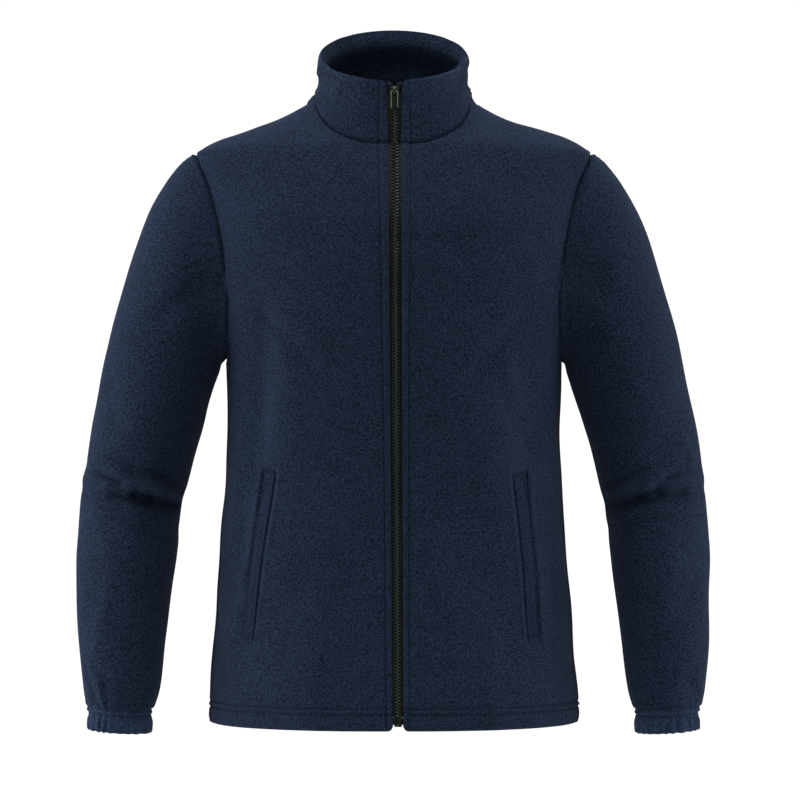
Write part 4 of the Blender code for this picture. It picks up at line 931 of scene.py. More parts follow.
def share_seam_directions(pieces):
    """Gives every seam point that pieces share one direction: the mitre of body and limb."""
    spots = [(piece, spot) for piece in pieces for spot in piece.seam_spots()]
    tree = KDTree(len(spots))
    for number, (piece, spot) in enumerate(spots):
        tree.insert(piece.points[spot], number)
    tree.balance()
    shared = {piece.name: {} for piece in pieces}
    for piece, spot in spots:
        limbs = {"body": np.zeros(3)}
        for _, number, _ in tree.find_range(piece.points[spot], SAME_POINT):
            other, place = spots[number]
            limb = "body" if other.name in BODY_PIECES else other.name
            limbs[limb] = limbs.get(limb, 0.0) + other.normals[place]
        facing = [unit(normal) for normal in limbs.values() if np.any(normal)]
        mitre = unit(np.sum(facing, axis=0))
        shared[piece.name][spot] = mitre / max(float(mitre @ facing[0]), SHARPEST_MITRE)
    for piece in pieces:
        piece.lean_seams(shared[piece.name])


def moved_out(points, amount, normals):
    return points + normals * amount[..., None]


@lru_cache(maxsize=1)
def cut_pieces():
    """Every sewn piece, keyed by name, with the directions of its seams shared."""
    pieces = {}
    for name, side in SIDES.items():
        points = on_side(front_panel(side), side)
        pieces["front_" + name] = ClothPiece("front_" + name, points,
                                             ("last_row", "last_column"), flip=side < 0)
    pieces["back"] = ClothPiece("back", back_panel(),
                                ("last_row", "first_column", "last_column"), flip=True)
    for name, creases in (("left", LEFT_SLEEVE_CREASES), ("right", RIGHT_SLEEVE_CREASES)):
        arm = on_side(sleeve(creases), SIDES[name])
        pieces["sleeve_" + name] = ClothPiece("sleeve_" + name, arm, ("first_row",),
                                              flip=name == "right", ring=True)
    pieces["collar"] = cut_collar(pieces)
    for name in BODY_PIECES + ("collar",):
        piece = pieces[name]
        folds = COLLAR_CREASES if name == "collar" else FINE_BODY_FOLDS
        away = np.minimum.reduce([piece.distance[edge] for edge in piece.seams])
        amount = fold_amount(piece.points, folds, piece.points[..., 0])
        amount = amount * smooth_step(away / SEAM_STEPS[-2])
        points = moved_out(piece.points, amount, piece.normals)
        pieces[name] = ClothPiece(name, points, piece.seams, piece.flip)
    share_seam_directions(list(pieces.values()))
    for name, phase in GATHER_PHASES.items():
        rings = on_side(cuff(phase), SIDES[name])
        pieces["cuff_" + name] = ClothPiece("cuff_" + name, rings, (), name == "right", True)
    return pieces


def cut_collar(pieces):
    """The collar stands on the neck seam that the fronts and the back share."""
    on_neck = int(np.sum(panel_columns(ZIP_STEPS) <= 0.5))
    back_neck = int(np.sum(panel_columns((0.0,)) <= 0.5))
    right = pieces["front_right"].points[-1, :on_neck]
    left = pieces["front_left"].points[-1, :on_neck][::-1]
    middle = (pieces["back"].points.shape[1] - 1) // 2
    back = pieces["back"].points[-1, middle - back_neck + 1:middle + back_neck]
    neck_line = np.concatenate([right[:-1], back, left[1:]])
    return ClothPiece("collar", collar(neck_line), ("first_row",), flip=True)


# ---------------------------------------------------------------- sewn relief of each piece
def raised_by(swell, distance):
    """How far a swell lifts the cloth at a distance from its edge."""
    return swell.height * bell(distance - swell.at, swell.width)


def seam_relief(distance, depth, ridge=0.0):
    """A seam's groove, with the cloth swelling beside it; ridge adds to this side's swell."""
    swell = (SEAM_SWELL + ridge) * bell(distance - SWELL_AT, SWELL_WIDTH)
    return swell * smooth_step(distance / SWELL_AT) - depth * bell(distance, SEAM_WIDTH)


def rolled(distance, reach, depth):
    """Fall of a face that rolls over to its edge, taller or shorter than it is deep."""
    inward = 1 - np.clip(distance / reach, 0, 1)
    return depth * (1 - np.sqrt(1 - inward ** 2))


def beside_zip(piece):
    """Nominal distance from the opening, the same on the fronts and the collar above them."""
    shares = panel_columns(ZIP_STEPS) * HALF_FRONT
    if piece.name != "collar":
        return np.broadcast_to(shares, piece.points.shape[:2])
    on_neck = shares[shares <= HALF_FRONT / 2]
    columns = piece.points.shape[1]
    distance = np.full(columns, on_neck[-1])
    distance[:len(on_neck)] = on_neck
    distance[-len(on_neck):] = np.minimum(distance[-len(on_neck):], on_neck[::-1])
    return np.broadcast_to(distance, piece.points.shape[:2])


def stitched(distance, depth):
    """Groove that a row of topstitching pulls into the fleece."""
    return -depth * bell(distance, STITCH_WIDTH)


def zip_relief(piece, settings):
    """Padded strip beside the zip, its topstitching and its rounded edge."""
    distance = beside_zip(piece)
    edge = piece.distance["first_column"]
    if piece.name == "collar":
        edge = np.minimum(edge, piece.distance["last_column"])
    strip = raised_by(ZIP_PAD, distance) + stitched(distance - ZIP_STITCH, settings.stitch_depth)
    return strip, rolled(edge, ZIP_EDGE_RADIUS, ZIP_EDGE_RADIUS)


def hem_relief(piece, settings):
    """Soft turned hem with its twin rows of stitches."""
    up = piece.distance["first_row"]
    raised = raised_by(HEM_PUFF, up) + raised_by(HEM_RIDGE, up)
    for line in HEM_STITCHES:
        raised += stitched(up - line, settings.stitch_depth)
    return raised


def pocket_relief(piece):
    """Groove and swell in a front beside both long edges of its welt."""
    top, bottom = POCKETS[piece.name[len("front_"):]]
    x, z = np.abs(piece.points[..., 0]), piece.points[..., 2]
    down = (top.z - z) / (top.z - bottom.z)
    amount = np.zeros(x.shape)
    for edge in POCKET_EDGES:
        line = mix(getattr(top, edge.name), getattr(bottom, edge.name), down)
        away = (x - line) * edge.outward * POCKET_SLANT
        amount += raised_by(edge.swell, away) + raised_by(edge.groove, away)
    steep, past = POCKET_FADE
    return amount * smooth_step(down * steep + past) * smooth_step((1 - down) * steep + past)


def body_skins(piece, settings):
    """Outer and inner faces of a front or the back."""
    up = piece.distance["first_row"]
    raised = ripple(piece.points) + hem_relief(piece, settings)
    raised += seam_relief(piece.distance["last_row"], settings.seam_depth)
    on_back = piece.name == "back"
    ridge = SIDE_RIDGES["back" if on_back else "front"] * (piece.points[..., 2] < ARMPIT_Z)
    raised += seam_relief(piece.distance["last_column"], settings.seam_depth, ridge)
    hem_fall = rolled(up, HEM_RADIUS, HEM_RADIUS)
    fall = hem_fall
    if on_back:
        raised += seam_relief(piece.distance["first_column"], settings.seam_depth, ridge)
    else:
        strip, zip_fall = zip_relief(piece, settings)
        raised += strip + pocket_relief(piece)
        fall = np.maximum(hem_fall, zip_fall)
    wall = mix(DOUBLE, CLOTH, smooth_step((up - HEM_TURN) / 0.0020)) - hem_fall
    outer = moved_out(piece.points, raised - fall, piece.normals)
    return outer, moved_out(piece.points, -np.maximum(wall, fall + LEAST_WALL), piece.normals)


def sleeve_skins(piece, settings):
    """Outer and inner faces of a sleeve, with its underarm seam and its gathers at the cuff."""
    to_armhole, to_cuff = piece.distance["first_row"], piece.distance["last_row"]
    angle = sleeve_angles()[None, :]
    underarm = np.argmin(np.abs(angle[0] - math.pi))
    across = piece.distance["first_column"]
    from_underarm = np.abs(across - across[:, underarm:underarm + 1])
    raised = ripple(piece.points)
    raised += seam_relief(to_armhole, settings.seam_depth, ridge=ARMHOLE_RIDGE)
    raised += seam_relief(from_underarm, settings.seam_depth) * smooth_step(to_armhole / 0.01)
    phase = GATHER_PHASES[piece.name[len("sleeve_"):]]
    pleats = np.cos(9 * angle + 1.4 * np.sin(2 * angle + phase)) * (0.6 + 0.4 * np.cos(angle - phase))
    raised += settings.gather_depth * (0.5 * uneven_gathers(angle, phase) * bell(to_cuff, 0.012)
                                       + 0.6 * pleats * bell(to_cuff - 0.012, 0.022))
    raised *= smooth_step((to_cuff + 0.0015) / 0.004)
    raised += seam_relief(to_cuff, settings.stitch_depth * CUFF_SEAM_SHARE)
    raised = np.where(to_armhole == 0, ripple(piece.points) - settings.seam_depth, raised)
    outer = moved_out(piece.points, raised, piece.normals)
    return outer, moved_out(piece.points, np.full(raised.shape, -CLOTH), piece.normals)


def collar_skins(piece, settings):
    """Outer and inner faces of the doubled collar, which thickens into its rolled rim."""
    to_seam, to_rim = piece.distance["first_row"], piece.distance["last_row"]
    distance = beside_zip(piece)
    doubled = smooth_step((distance - 0.011) / 0.010)
    far = smooth_step((distance - 0.012) / 0.060)
    wall = mix(CLOTH, DOUBLE, doubled * smooth_step(to_seam / 0.008))
    wall = wall + (settings.rim_thickness - DOUBLE) * far * bell(to_rim - 0.014, 0.020)
    face_side = 0.0021 * np.minimum(wall / DOUBLE, 1.2)
    roll = mix(RIM_OUTER_ROLL, RIM_INNER_ROLL, far)
    strip, zip_fall = zip_relief(piece, settings)
    raised = ripple(piece.points) + seam_relief(to_seam, settings.seam_depth, ridge=COLLAR_RIDGE) + strip
    outer = raised - rolled(to_rim, RIM_OUTER_ROLL, face_side) - zip_fall
    inner = (wall - face_side) * (1 - np.clip(to_rim / roll, 0, 1)) ** 2 - wall
    return (moved_out(piece.points, np.maximum(outer, inner + LEAST_WALL), piece.normals),
            moved_out(piece.points, inner, piece.normals))


def cuff_skins(piece, settings):
    """Outer and inner faces of the cuff: a stitched strip above the elastic's gathers."""
    down, to_edge = piece.distance["first_row"], piece.distance["last_row"]
    raised = seam_relief(down, settings.stitch_depth * CUFF_SEAM_SHARE)
    raised += raised_by(CUFF_RIDGE, down) + stitched(down - CUFF_STITCH, settings.stitch_depth)
    fall = rolled(to_edge, CUFF_RADIUS, CUFF_RADIUS)
    outer = moved_out(piece.points, raised - fall, piece.normals)
    return outer, moved_out(piece.points, fall - DOUBLE, piece.normals)


def skins(piece, settings):
    kind = piece.name.split("_")[0]
    make = {"front": body_skins, "back": body_skins, "sleeve": sleeve_skins,
            "collar": collar_skins, "cuff": cuff_skins}[kind]
    return make(piece, settings)


# ---------------------------------------------------------------- meshes
def wall(outer, inner, flip=False, ring=False):
    """Points and faces of a closed wall between an outer and an inner grid."""
    rows, columns = outer.shape[:2]
    skin = rows * columns
    number = np.arange(skin).reshape(rows, columns)
    if ring:
        number = np.concatenate([number, number[:, :1]], axis=1)
    face = np.stack([number[:-1, :-1], number[:-1, 1:], number[1:, 1:], number[1:, :-1]], -1)
    face = face.reshape(-1, 4)
    faces = [face, face[:, ::-1] + skin]
    rims = [number[0, ::-1], number[-1]]
    if not ring:
        rims += [number[:, 0], number[::-1, -1]]
    for line in rims:
        a, b = line[:-1], line[1:]
        faces.append(np.stack([a, b, b + skin, a + skin], -1))
    faces = np.concatenate(faces)
    if flip:
        faces = faces[:, ::-1]
    return np.concatenate([outer.reshape(-1, 3), inner.reshape(-1, 3)]), faces.tolist()


def joined_mesh(name, parts):
    """One mesh from several sets of points and faces."""
    points, faces, start = [], [], 0
    for part_points, part_faces in parts:
        points.append(part_points)
        faces += [[corner + start for corner in face] for face in part_faces]
        start += len(part_points)
    mesh = bpy.data.meshes.new(name)
    mesh.from_pydata(np.concatenate(points).tolist(), [], faces)
    mesh.validate()
    return mesh


def show(mesh, material, node=None, body="jacket", sharp=48.0):
    """Adds a piece to the scene: it rides on a body and stands for a CAD node."""
    item = bpy.data.objects.new(mesh.name, mesh)
    mesh.materials.append(material)
    mesh.shade_smooth()
    mesh.set_sharp_from_angle(angle=math.radians(sharp))
    bpy.context.scene.collection.objects.link(item)
    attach(item, body)
    if node:
        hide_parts(node)
    return item


def show_cloth(name, settings, material):
    """Adds one sewn piece."""
    piece = cut_pieces()[name]
    outer, inner = skins(piece, settings)
    mesh = joined_mesh(name + "_cloth", [wall(outer, inner, piece.flip, piece.ring)])
    return show(mesh, material, name)


# ---------------------------------------------------------------- materials
def linear(hex_colour):
    """Linear red, green, blue and opacity of an sRGB hex colour."""
    values = [int(hex_colour[i:i + 2], 16) / 255 for i in (1, 3, 5)]
    return tuple(v / 12.92 if v <= 0.04045 else ((v + 0.055) / 1.055) ** 2.4
                 for v in values) + (1.0,)


def add_node(tree, kind, settings=None, inputs=None):
    """Adds a node, sets its own settings, and sets or links its inputs."""
    node = tree.nodes.new(kind)
    for name, value in (settings or {}).items():
        setattr(node, name, value)
    for name, value in (inputs or {}).items():
        if isinstance(value, bpy.types.NodeSocket):
            tree.links.new(value, node.inputs[name])
        else:
            node.inputs[name].default_value = value
    return node


def new_material(name):
    """A new material, its tree, its shader and the object's own coordinates."""
    material = bpy.data.materials.new(name)
    material.use_nodes = True
    tree = material.node_tree
    place = add_node(tree, "ShaderNodeTexCoord").outputs["Object"]
    return material, tree, tree.nodes["Principled BSDF"], place


def dimmed(shade, share):
    return tuple(value * share for value in shade[:3]) + (1.0,)


def mottle(tree, dark, light, amount):
    """Colour between two shades, by an amount from 0 to 1."""
    return add_node(tree, "ShaderNodeMix", {"data_type": "RGBA"},
                    {0: amount, 6: dark, 7: light}).outputs[2]


def napped_fleece(name, dark, light, clump):
    """Polyester fleece, knitted, brushed and sheared.

    The brushed pile stands in small clumps, which mottle its colour and break up the light.
    Its fibre ends catch light at grazing angles and give the edges their pale bloom, and it
    has hardly any gloss. The clumps are 1.5 to 2 mm wide; the fibres are drawn at 0.6 mm,
    coarser than real ones, so that they show.
    """
    material, tree, shader, place = new_material(name)
    warp = add_node(tree, "ShaderNodeTexNoise", None,
                    {"Vector": place, "Scale": 0.5 / clump, "Detail": 2.0})
    bent = add_node(tree, "ShaderNodeMix", {"data_type": "VECTOR"},
                    {0: 0.003, 4: place, 5: warp.outputs["Color"]}).outputs[1]
    clumps = add_node(tree, "ShaderNodeTexNoise", None,
                      {"Vector": bent, "Scale": 1.0 / clump, "Detail": 1.0, "Roughness": 0.5})
    fibres = add_node(tree, "ShaderNodeTexNoise", None,
                      {"Vector": place, "Scale": 2.8 / clump, "Detail": 2.0, "Roughness": 0.6})
    patches = add_node(tree, "ShaderNodeTexNoise", None,
                       {"Vector": place, "Scale": 14.0, "Detail": 3.0, "Roughness": 0.5})
    pile = add_node(tree, "ShaderNodeMath", {"operation": "MULTIPLY_ADD"},
                    {0: fibres.outputs["Fac"], 1: 0.45, 2: clumps.outputs["Fac"]}).outputs[0]
    shade = add_node(tree, "ShaderNodeMapRange", None,
                     {"Value": pile, "From Min": 0.60, "From Max": 0.90}).outputs[0]
    tone = add_node(tree, "ShaderNodeMath", {"operation": "MULTIPLY_ADD", "use_clamp": True},
                    {0: patches.outputs["Fac"], 1: 0.30, 2: shade}).outputs[0]
    lowered = add_node(tree, "ShaderNodeMath", {"operation": "SUBTRACT", "use_clamp": True},
                       {0: tone, 1: 0.15}).outputs[0]
    colour = mottle(tree, dark, light, lowered)
    bump = add_node(tree, "ShaderNodeBump", None,
                    {"Height": pile, "Strength": 0.9, "Distance": 0.0014})
    tree.links.new(colour, shader.inputs["Base Color"])
    tree.links.new(bump.outputs["Normal"], shader.inputs["Normal"])
    shader.inputs["Roughness"].default_value = 0.95
    shader.inputs["Specular IOR Level"].default_value = 0.10
    shader.inputs["Sheen Weight"].default_value = 0.085
    shader.inputs["Sheen Roughness"].default_value = 0.45
    shader.inputs["Sheen Tint"].default_value = linear("#8fa0c4")
    return material


RIB_SPACING = 0.001885
TWILL_SPACING = 0.0069115   # up the tape


def woven_tape(name, shade):
    """Polyester zip tape, woven in a fine twill.

    Its warp stands up in narrow ribs along the zip and takes a dull, slightly silky light.
    The ribs and the twill's lines are drawn much wider apart than real ones, so that they show.
    A wave texture of scale 1 turns by 20 radians for each metre across straight bands, and by
    10 for each metre along any axis across diagonal ones.
    """
    material, tree, shader, place = new_material(name)
    ribs = add_node(tree, "ShaderNodeTexWave", {"bands_direction": "X"},
                    {"Vector": place, "Scale": 2 * math.pi / 20 / RIB_SPACING,
                     "Distortion": 0.4, "Detail": 1.0})
    picks = add_node(tree, "ShaderNodeTexWave", {"bands_direction": "DIAGONAL"},
                     {"Vector": place, "Scale": 2 * math.pi / 10 / TWILL_SPACING,
                      "Distortion": 0.6, "Detail": 1.0})
    weave = add_node(tree, "ShaderNodeMath", {"operation": "MULTIPLY"},
                     {0: ribs.outputs["Fac"], 1: picks.outputs["Fac"]}).outputs[0]
    colour = mottle(tree, dimmed(shade, 0.45), shade, weave)
    bump = add_node(tree, "ShaderNodeBump", None,
                    {"Height": weave, "Strength": 0.6, "Distance": 0.0003})
    tree.links.new(colour, shader.inputs["Base Color"])
    tree.links.new(bump.outputs["Normal"], shader.inputs["Normal"])
    shader.inputs["Roughness"].default_value = 0.70
    shader.inputs["Specular IOR Level"].default_value = 0.25
    shader.inputs["Sheen Weight"].default_value = 0.03
    return material


def moulded_acetal(name, shade):
    """Acetal teeth, injection moulded on to the tape.

    Dull and slightly waxy: soft wide highlights on each tooth, with a faint flow mottle.
    """
    material, tree, shader, place = new_material(name)
    flow = add_node(tree, "ShaderNodeTexNoise", None,
                    {"Vector": place, "Scale": 420.0, "Detail": 2.0})
    colour = mottle(tree, dimmed(shade, 0.55), shade, flow.outputs["Fac"])
    rough = add_node(tree, "ShaderNodeMapRange", None,
                     {"Value": flow.outputs["Fac"], "To Min": 0.26, "To Max": 0.40}).outputs[0]
    tree.links.new(colour, shader.inputs["Base Color"])
    tree.links.new(rough, shader.inputs["Roughness"])
    shader.inputs["IOR"].default_value = 1.48
    shader.inputs["Specular IOR Level"].default_value = 0.35
    return material


def enamelled_zinc(name, shade):
    """Die-cast zinc slider under baked enamel: smooth and satin, with sharp lights on its rims."""
    material, tree, shader, place = new_material(name)
    wear = add_node(tree, "ShaderNodeTexNoise", None,
                    {"Vector": place, "Scale": 700.0, "Detail": 4.0, "Roughness": 0.7})
    colour = mottle(tree, dimmed(shade, 0.55), shade, wear.outputs["Fac"])
    rough = add_node(tree, "ShaderNodeMapRange", None,
                     {"Value": wear.outputs["Fac"], "To Min": 0.22, "To Max": 0.34}).outputs[0]
    tree.links.new(colour, shader.inputs["Base Color"])
    tree.links.new(rough, shader.inputs["Roughness"])
    shader.inputs["Specular IOR Level"].default_value = 0.40
    return material


def spun_thread(name, shade):
    """Spun polyester sewing thread: dull, twisted, a little paler than the fleece it sinks in."""
    material, tree, shader, place = new_material(name)
    twist = add_node(tree, "ShaderNodeTexWave", {"bands_direction": "DIAGONAL"},
                     {"Vector": place, "Scale": 260.0, "Distortion": 0.5})
    colour = mottle(tree, dimmed(shade, 0.5), shade, twist.outputs["Fac"])
    tree.links.new(colour, shader.inputs["Base Color"])
    shader.inputs["Roughness"].default_value = 0.75
    shader.inputs["Specular IOR Level"].default_value = 0.15
    return material


def matt_paint(name, shade):
    """Matt emulsion of the studio floor, with the faint unevenness of a roller."""
    material, tree, shader, place = new_material(name)
    stipple = add_node(tree, "ShaderNodeTexNoise", None,
                       {"Vector": place, "Scale": 160.0, "Detail": 3.0})
    bump = add_node(tree, "ShaderNodeBump", None,
                    {"Height": stipple.outputs["Fac"], "Strength": 0.1, "Distance": 0.0005})
    tree.links.new(bump.outputs["Normal"], shader.inputs["Normal"])
    shader.inputs["Base Color"].default_value = shade
    shader.inputs["Roughness"].default_value = 0.9
    return material


FLEECE_NAME = "napped_polyester_fleece"
FINISHES = {   # the material's name, its maker and the settings that it takes
    "fleece": (FLEECE_NAME, napped_fleece, "fleece_dark", "fleece_light", "nap_clump"),
    # a paler copy of the fleece: light painted on the gathered cuffs
    "cuff": (FLEECE_NAME + "_cuff", napped_fleece, "cuff_dark", "cuff_light", "nap_clump"),
    "welt": (FLEECE_NAME + "_welt", napped_fleece, "welt_dark", "welt_light", "nap_clump"),
    "tape": ("woven_polyester_tape", woven_tape, "tape"),
    "teeth": ("moulded_acetal", moulded_acetal, "teeth"),
    "slider": ("enamelled_zinc", enamelled_zinc, "slider"),
    # the slider's enamel in a pale shade, painted on raised parts of the zip as highlights
    "rubbed": ("rubbed_enamelled_zinc", enamelled_zinc, "rubbed"),
    "thread": ("spun_polyester_thread", spun_thread, "thread"),
}


def finish(key, settings):
    """The material of that key, made once."""
    name, make, *fields = FINISHES[key]
    values = [getattr(settings, field) for field in fields]
    values = [value if isinstance(value, float) else tuple(value) for value in values]
    return bpy.data.materials.get(name) or make(name, *values)


# ---------------------------------------------------------------- pocket welts
WELT_LONG_STEPS = (0.0, 0.0002, 0.0006, 0.0012, 0.0020, 0.0030)
WELT_END_SLANT = 0.0036   # the inner corner of each end sits this much lower
WELT_EDGE = 0.0013


def welt_grid(side):
    """Points of a welt on its front's outer form, and its distances from its edges."""
    top, bottom = POCKETS["left" if side > 0 else "right"]
    length = top.z - bottom.z
    rows = graded(length, CELL, WELT_LONG_STEPS, WELT_LONG_STEPS)
    width = (top.outer_x - top.inner_x + bottom.outer_x - bottom.inner_x) / 2
    columns = graded(width, 0.0016, WELT_LONG_STEPS, WELT_LONG_STEPS)
    down, across = rows[:, None] / length, columns[None, :] / width
    bow = 0.0008 * np.sin(down * math.pi)
    inner = mix(top.inner_x, bottom.inner_x, down) - bow
    outer = mix(top.outer_x, bottom.outer_x, down) - bow
    x = mix(inner, outer, across)
    z = mix(top.z, bottom.z, down) - WELT_END_SLANT * (0.5 - across)
    x, z = np.broadcast_arrays(x, z)
    points = on_side(drape(stack(x, -depth_at(x, z, 1), z)), side)
    piece = ClothPiece("pocket_welt", points, (), flip=side > 0)
    fine = fold_amount(piece.points, FINE_BODY_FOLDS, piece.points[..., 0])
    return ClothPiece("pocket_welt", moved_out(points, fine, piece.normals), (), flip=side > 0)


def welt_skins(side):
    piece = welt_grid(side)
    nearest = np.minimum.reduce(list(piece.distance.values()))
    long_edges = np.minimum(piece.distance["first_column"], piece.distance["last_column"])
    raised = GAP + POCKET_RAISE * 0.86 + ripple(piece.points)
    raised += raised_by(WELT_RIDGE, long_edges) + raised_by(WELT_TUCK, piece.distance["first_column"])
    ends = np.minimum(piece.distance["first_row"], piece.distance["last_row"])
    raised += raised_by(WELT_TACK, ends)
    outer = moved_out(piece.points, raised - rolled(nearest, WELT_EDGE, WELT_EDGE), piece.normals)
    return piece, outer, moved_out(piece.points, np.full(raised.shape, -0.0012), piece.normals)


# ---------------------------------------------------------------- sewing thread
StitchRun = namedtuple("StitchRun", "points normals pitch length")
StitchStation = namedtuple("StitchStation", "along radius height")   # shares of length and radius
STITCH_STATIONS = rows_of(StitchStation, (
    (0.0, 0.35, -0.9), (0.18, 1.0, 0.0), (0.82, 1.0, 0.0), (1.0, 0.35, -0.9)))
STITCH_SIDES = 6
STITCH_SHARE = 0.84       # of the pitch that shows, the rest being under the cloth
FIRST_STITCH = 0.3        # of a pitch, from the start of a run
THREAD_LIFT = 0.6         # the thread's middle over the cloth, as a share of its radius
TACK_PITCH, TACK_LENGTH = 0.0011, 0.0010   # close stitches across the pockets' ends


def capped_rings(rows, sides):
    """Faces of a solid whose points are rings, one after another, with both ends closed."""
    faces = []
    for row in range(rows - 1):
        for k in range(sides):
            a, b = row * sides + k, row * sides + (k + 1) % sides
            faces.append((a, b, b + sides, a + sides))
    last = (rows - 1) * sides
    return faces + [tuple(range(sides))[::-1], tuple(range(last, last + sides))]


def stitch_template():
    """One stitch along x, from 0 to 1, whose ends dip into the cloth."""
    points = []
    for x, radius, height in STITCH_STATIONS:
        for k in range(STITCH_SIDES):
            turn = 2 * math.pi * k / STITCH_SIDES
            points.append((x, radius * math.cos(turn), height + radius * math.sin(turn)))
    return np.array(points), capped_rings(len(STITCH_STATIONS), STITCH_SIDES)


def stitches(runs, radius):
    """Points and faces of every stitch of the runs."""
    template, template_faces = stitch_template()
    parts = []
    for run in runs:
        arc = arc_length(run.points)
        starts = np.arange(run.pitch * FIRST_STITCH, arc[-1] - run.length, run.pitch)
        a = at_distance(starts, arc, run.points)
        b = at_distance(starts + run.length, arc, run.points)
        up = unit(at_distance(starts + run.length / 2, arc, run.normals))
        along = b - a
        side = unit(np.cross(up, along)) * radius
        up = np.cross(unit(along), unit(side)) * radius
        place = (a[:, None] + along[:, None] * template[None, :, :1]
                 + side[:, None] * template[None, :, 1:2] + up[:, None] * template[None, :, 2:])
        for points in place:
            parts.append((points, template_faces))
    return parts


def stitch_run(piece, outer, rows, columns, settings):
    """Run of stitches along the given points, half sunk in the cloth's face."""
    normals = piece.normals[rows, columns]
    points = outer[rows, columns] + unit(normals) * settings.thread_radius * THREAD_LIFT
    return StitchRun(points, normals, settings.stitch_pitch, settings.stitch_pitch * STITCH_SHARE)


# ---------------------------------------------------------------- zip
def zip_line():
    """Heights and forward faces of the cloth along the zip, from the hem to the collar."""
    pieces = cut_pieces()
    line = np.concatenate([pieces["front_left"].points[:, 0], pieces["collar"].points[1:, -1]])
    return line[:, 2], line[:, 1]


def zip_frame(z):
    """Middle of the chain at a height, and the direction in which it runs."""
    heights, faces = zip_line()
    z = np.asarray(z, dtype=float)
    y = np.interp(z, heights, faces) + CHAIN_SET + CHAIN_DEPTH / 2
    step = 0.002
    ahead = np.interp(np.minimum(z + step, heights[-1]), heights, faces)
    behind = np.interp(np.minimum(z + step, heights[-1]) - 2 * step, heights, faces)
    run = unit(stack((ZIP_TOP_X - ZIP_BOTTOM_X) / (NECK_SIDE_Z - HEM_Z), (ahead - behind) / step / 2,
                     np.ones_like(z)))
    return stack(zip_x(z), y, z), run


TOOTH_OUTLINE = (
    # x towards the other side's teeth, z along the chain, in millimetres
    (-4.20, -1.30), (-2.75, -1.42), (-2.10, -1.05), (-1.55, -0.58), (-0.75, -0.62),
    (-0.20, -0.84), (0.55, -0.78), (1.00, -0.40),
    (1.00, 0.40), (0.55, 0.78), (-0.20, 0.84), (-0.75, 0.62), (-1.55, 0.58), (-2.10, 1.05),
    (-2.75, 1.42), (-4.20, 1.30),
)
# depth behind the tooth's front face and how far the outline is drawn in, in millimetres
TOOTH_LAYERS = ((0.0, 0.50), (0.30, 0.24), (0.90, 0.0), (2.55, 0.0), (3.0, 0.25))


def shrunk(outline, amount):
    """Outline drawn in by an amount, square to its sides."""
    outline = np.array(outline, dtype=float)
    before, after = np.roll(outline, 1, axis=0), np.roll(outline, -1, axis=0)
    tangent = after - before
    inward = np.stack([-tangent[:, 1], tangent[:, 0]], -1)
    return outline + unit(inward) * amount


# a slanted rib that the mould leaves on the face of each tooth: its foot, then its crest
TOOTH_RIB = ((-2.0, 0.2, -0.75), (0.55, 0.2, 0.05), (0.55, 0.2, 0.55), (-2.0, 0.2, -0.15),
             (-1.7, -0.32, -0.40), (0.35, -0.32, 0.26))
RIB_FACES = ((0, 1, 2, 3), (0, 4, 5, 1), (2, 5, 4, 3), (0, 3, 4), (1, 5, 2))


def layered_solid(outline, layers):
    """Solid from one outline drawn in by layers: x across, y into the depth, z along."""
    rings = []
    for depth, amount in layers:
        flat = shrunk(outline, amount)
        rings.append(stack(flat[:, 0], depth, flat[:, 1]))
    faces = capped_rings(len(layers), len(outline))
    return np.concatenate(rings), [face[::-1] for face in faces]


def chain_teeth(pitch):
    """Every moulded tooth of the closed chain, the two sides half a pitch apart."""
    points, faces = layered_solid(TOOTH_OUTLINE, TOOTH_LAYERS)
    faces = faces + [tuple(corner + len(points) for corner in face) for face in RIB_FACES]
    points = np.concatenate([points, TOOTH_RIB]) * 0.001
    points[:, 1] -= CHAIN_DEPTH / 2
    parts = []
    bottom, top = HEM_Z + CHAIN_BOTTOM, SLIDER_Z - SLIDER_LENGTH / 2 - GAP
    for side in (-1, 1):
        first = bottom + 0.0015 + (pitch / 2 if side > 0 else 0.0)
        places, runs = zip_frame(np.arange(first, top - 0.0012, pitch))
        own = points * (-side, 1, 1)
        own_faces = faces if side < 0 else [face[::-1] for face in faces]
        for place, run in zip(places, runs):
            across = unit(np.cross(np.array((0.0, 1.0, 0.0)), run))
            into = np.cross(run, across)
            turned = own[:, :1] * across + own[:, 1:2] * into + own[:, 2:] * run
            parts.append((place + turned, own_faces))
    return parts


TAPE_UNDER = 0.0125       # the tape reaches this far under the fronts
TAPE_ROWS = np.s_[3:]     # rows of the fronts that it lies behind, from above the hem's edge
TAPE_REACHES = (0.0002, 0.0024, CHAIN_HALF, CHAIN_HALF + 0.0008)   # from the chain's middle
# The end of the tape, rolled over and turned out above the slider, seen from the left side:
# across from the chain, back from it and up from the slider's middle, in millimetres.
TAPE_TIP = ((3.4, 0.6, 0.0), (3.5, 0.0, 3.2), (3.9, -0.9, 5.8), (4.9, -2.0, 7.6), (6.6, -2.8, 9.2),
            (8.5, -2.9, 10.0))
TAPE_TIP_WIDTHS = (0.0011, 0.0018, 0.0022, 0.0023, 0.0022, 0.0013)
TAPE_TIP_DEPTHS = (0.0008, 0.0012, 0.0015, 0.0016, 0.0014, 0.0008)


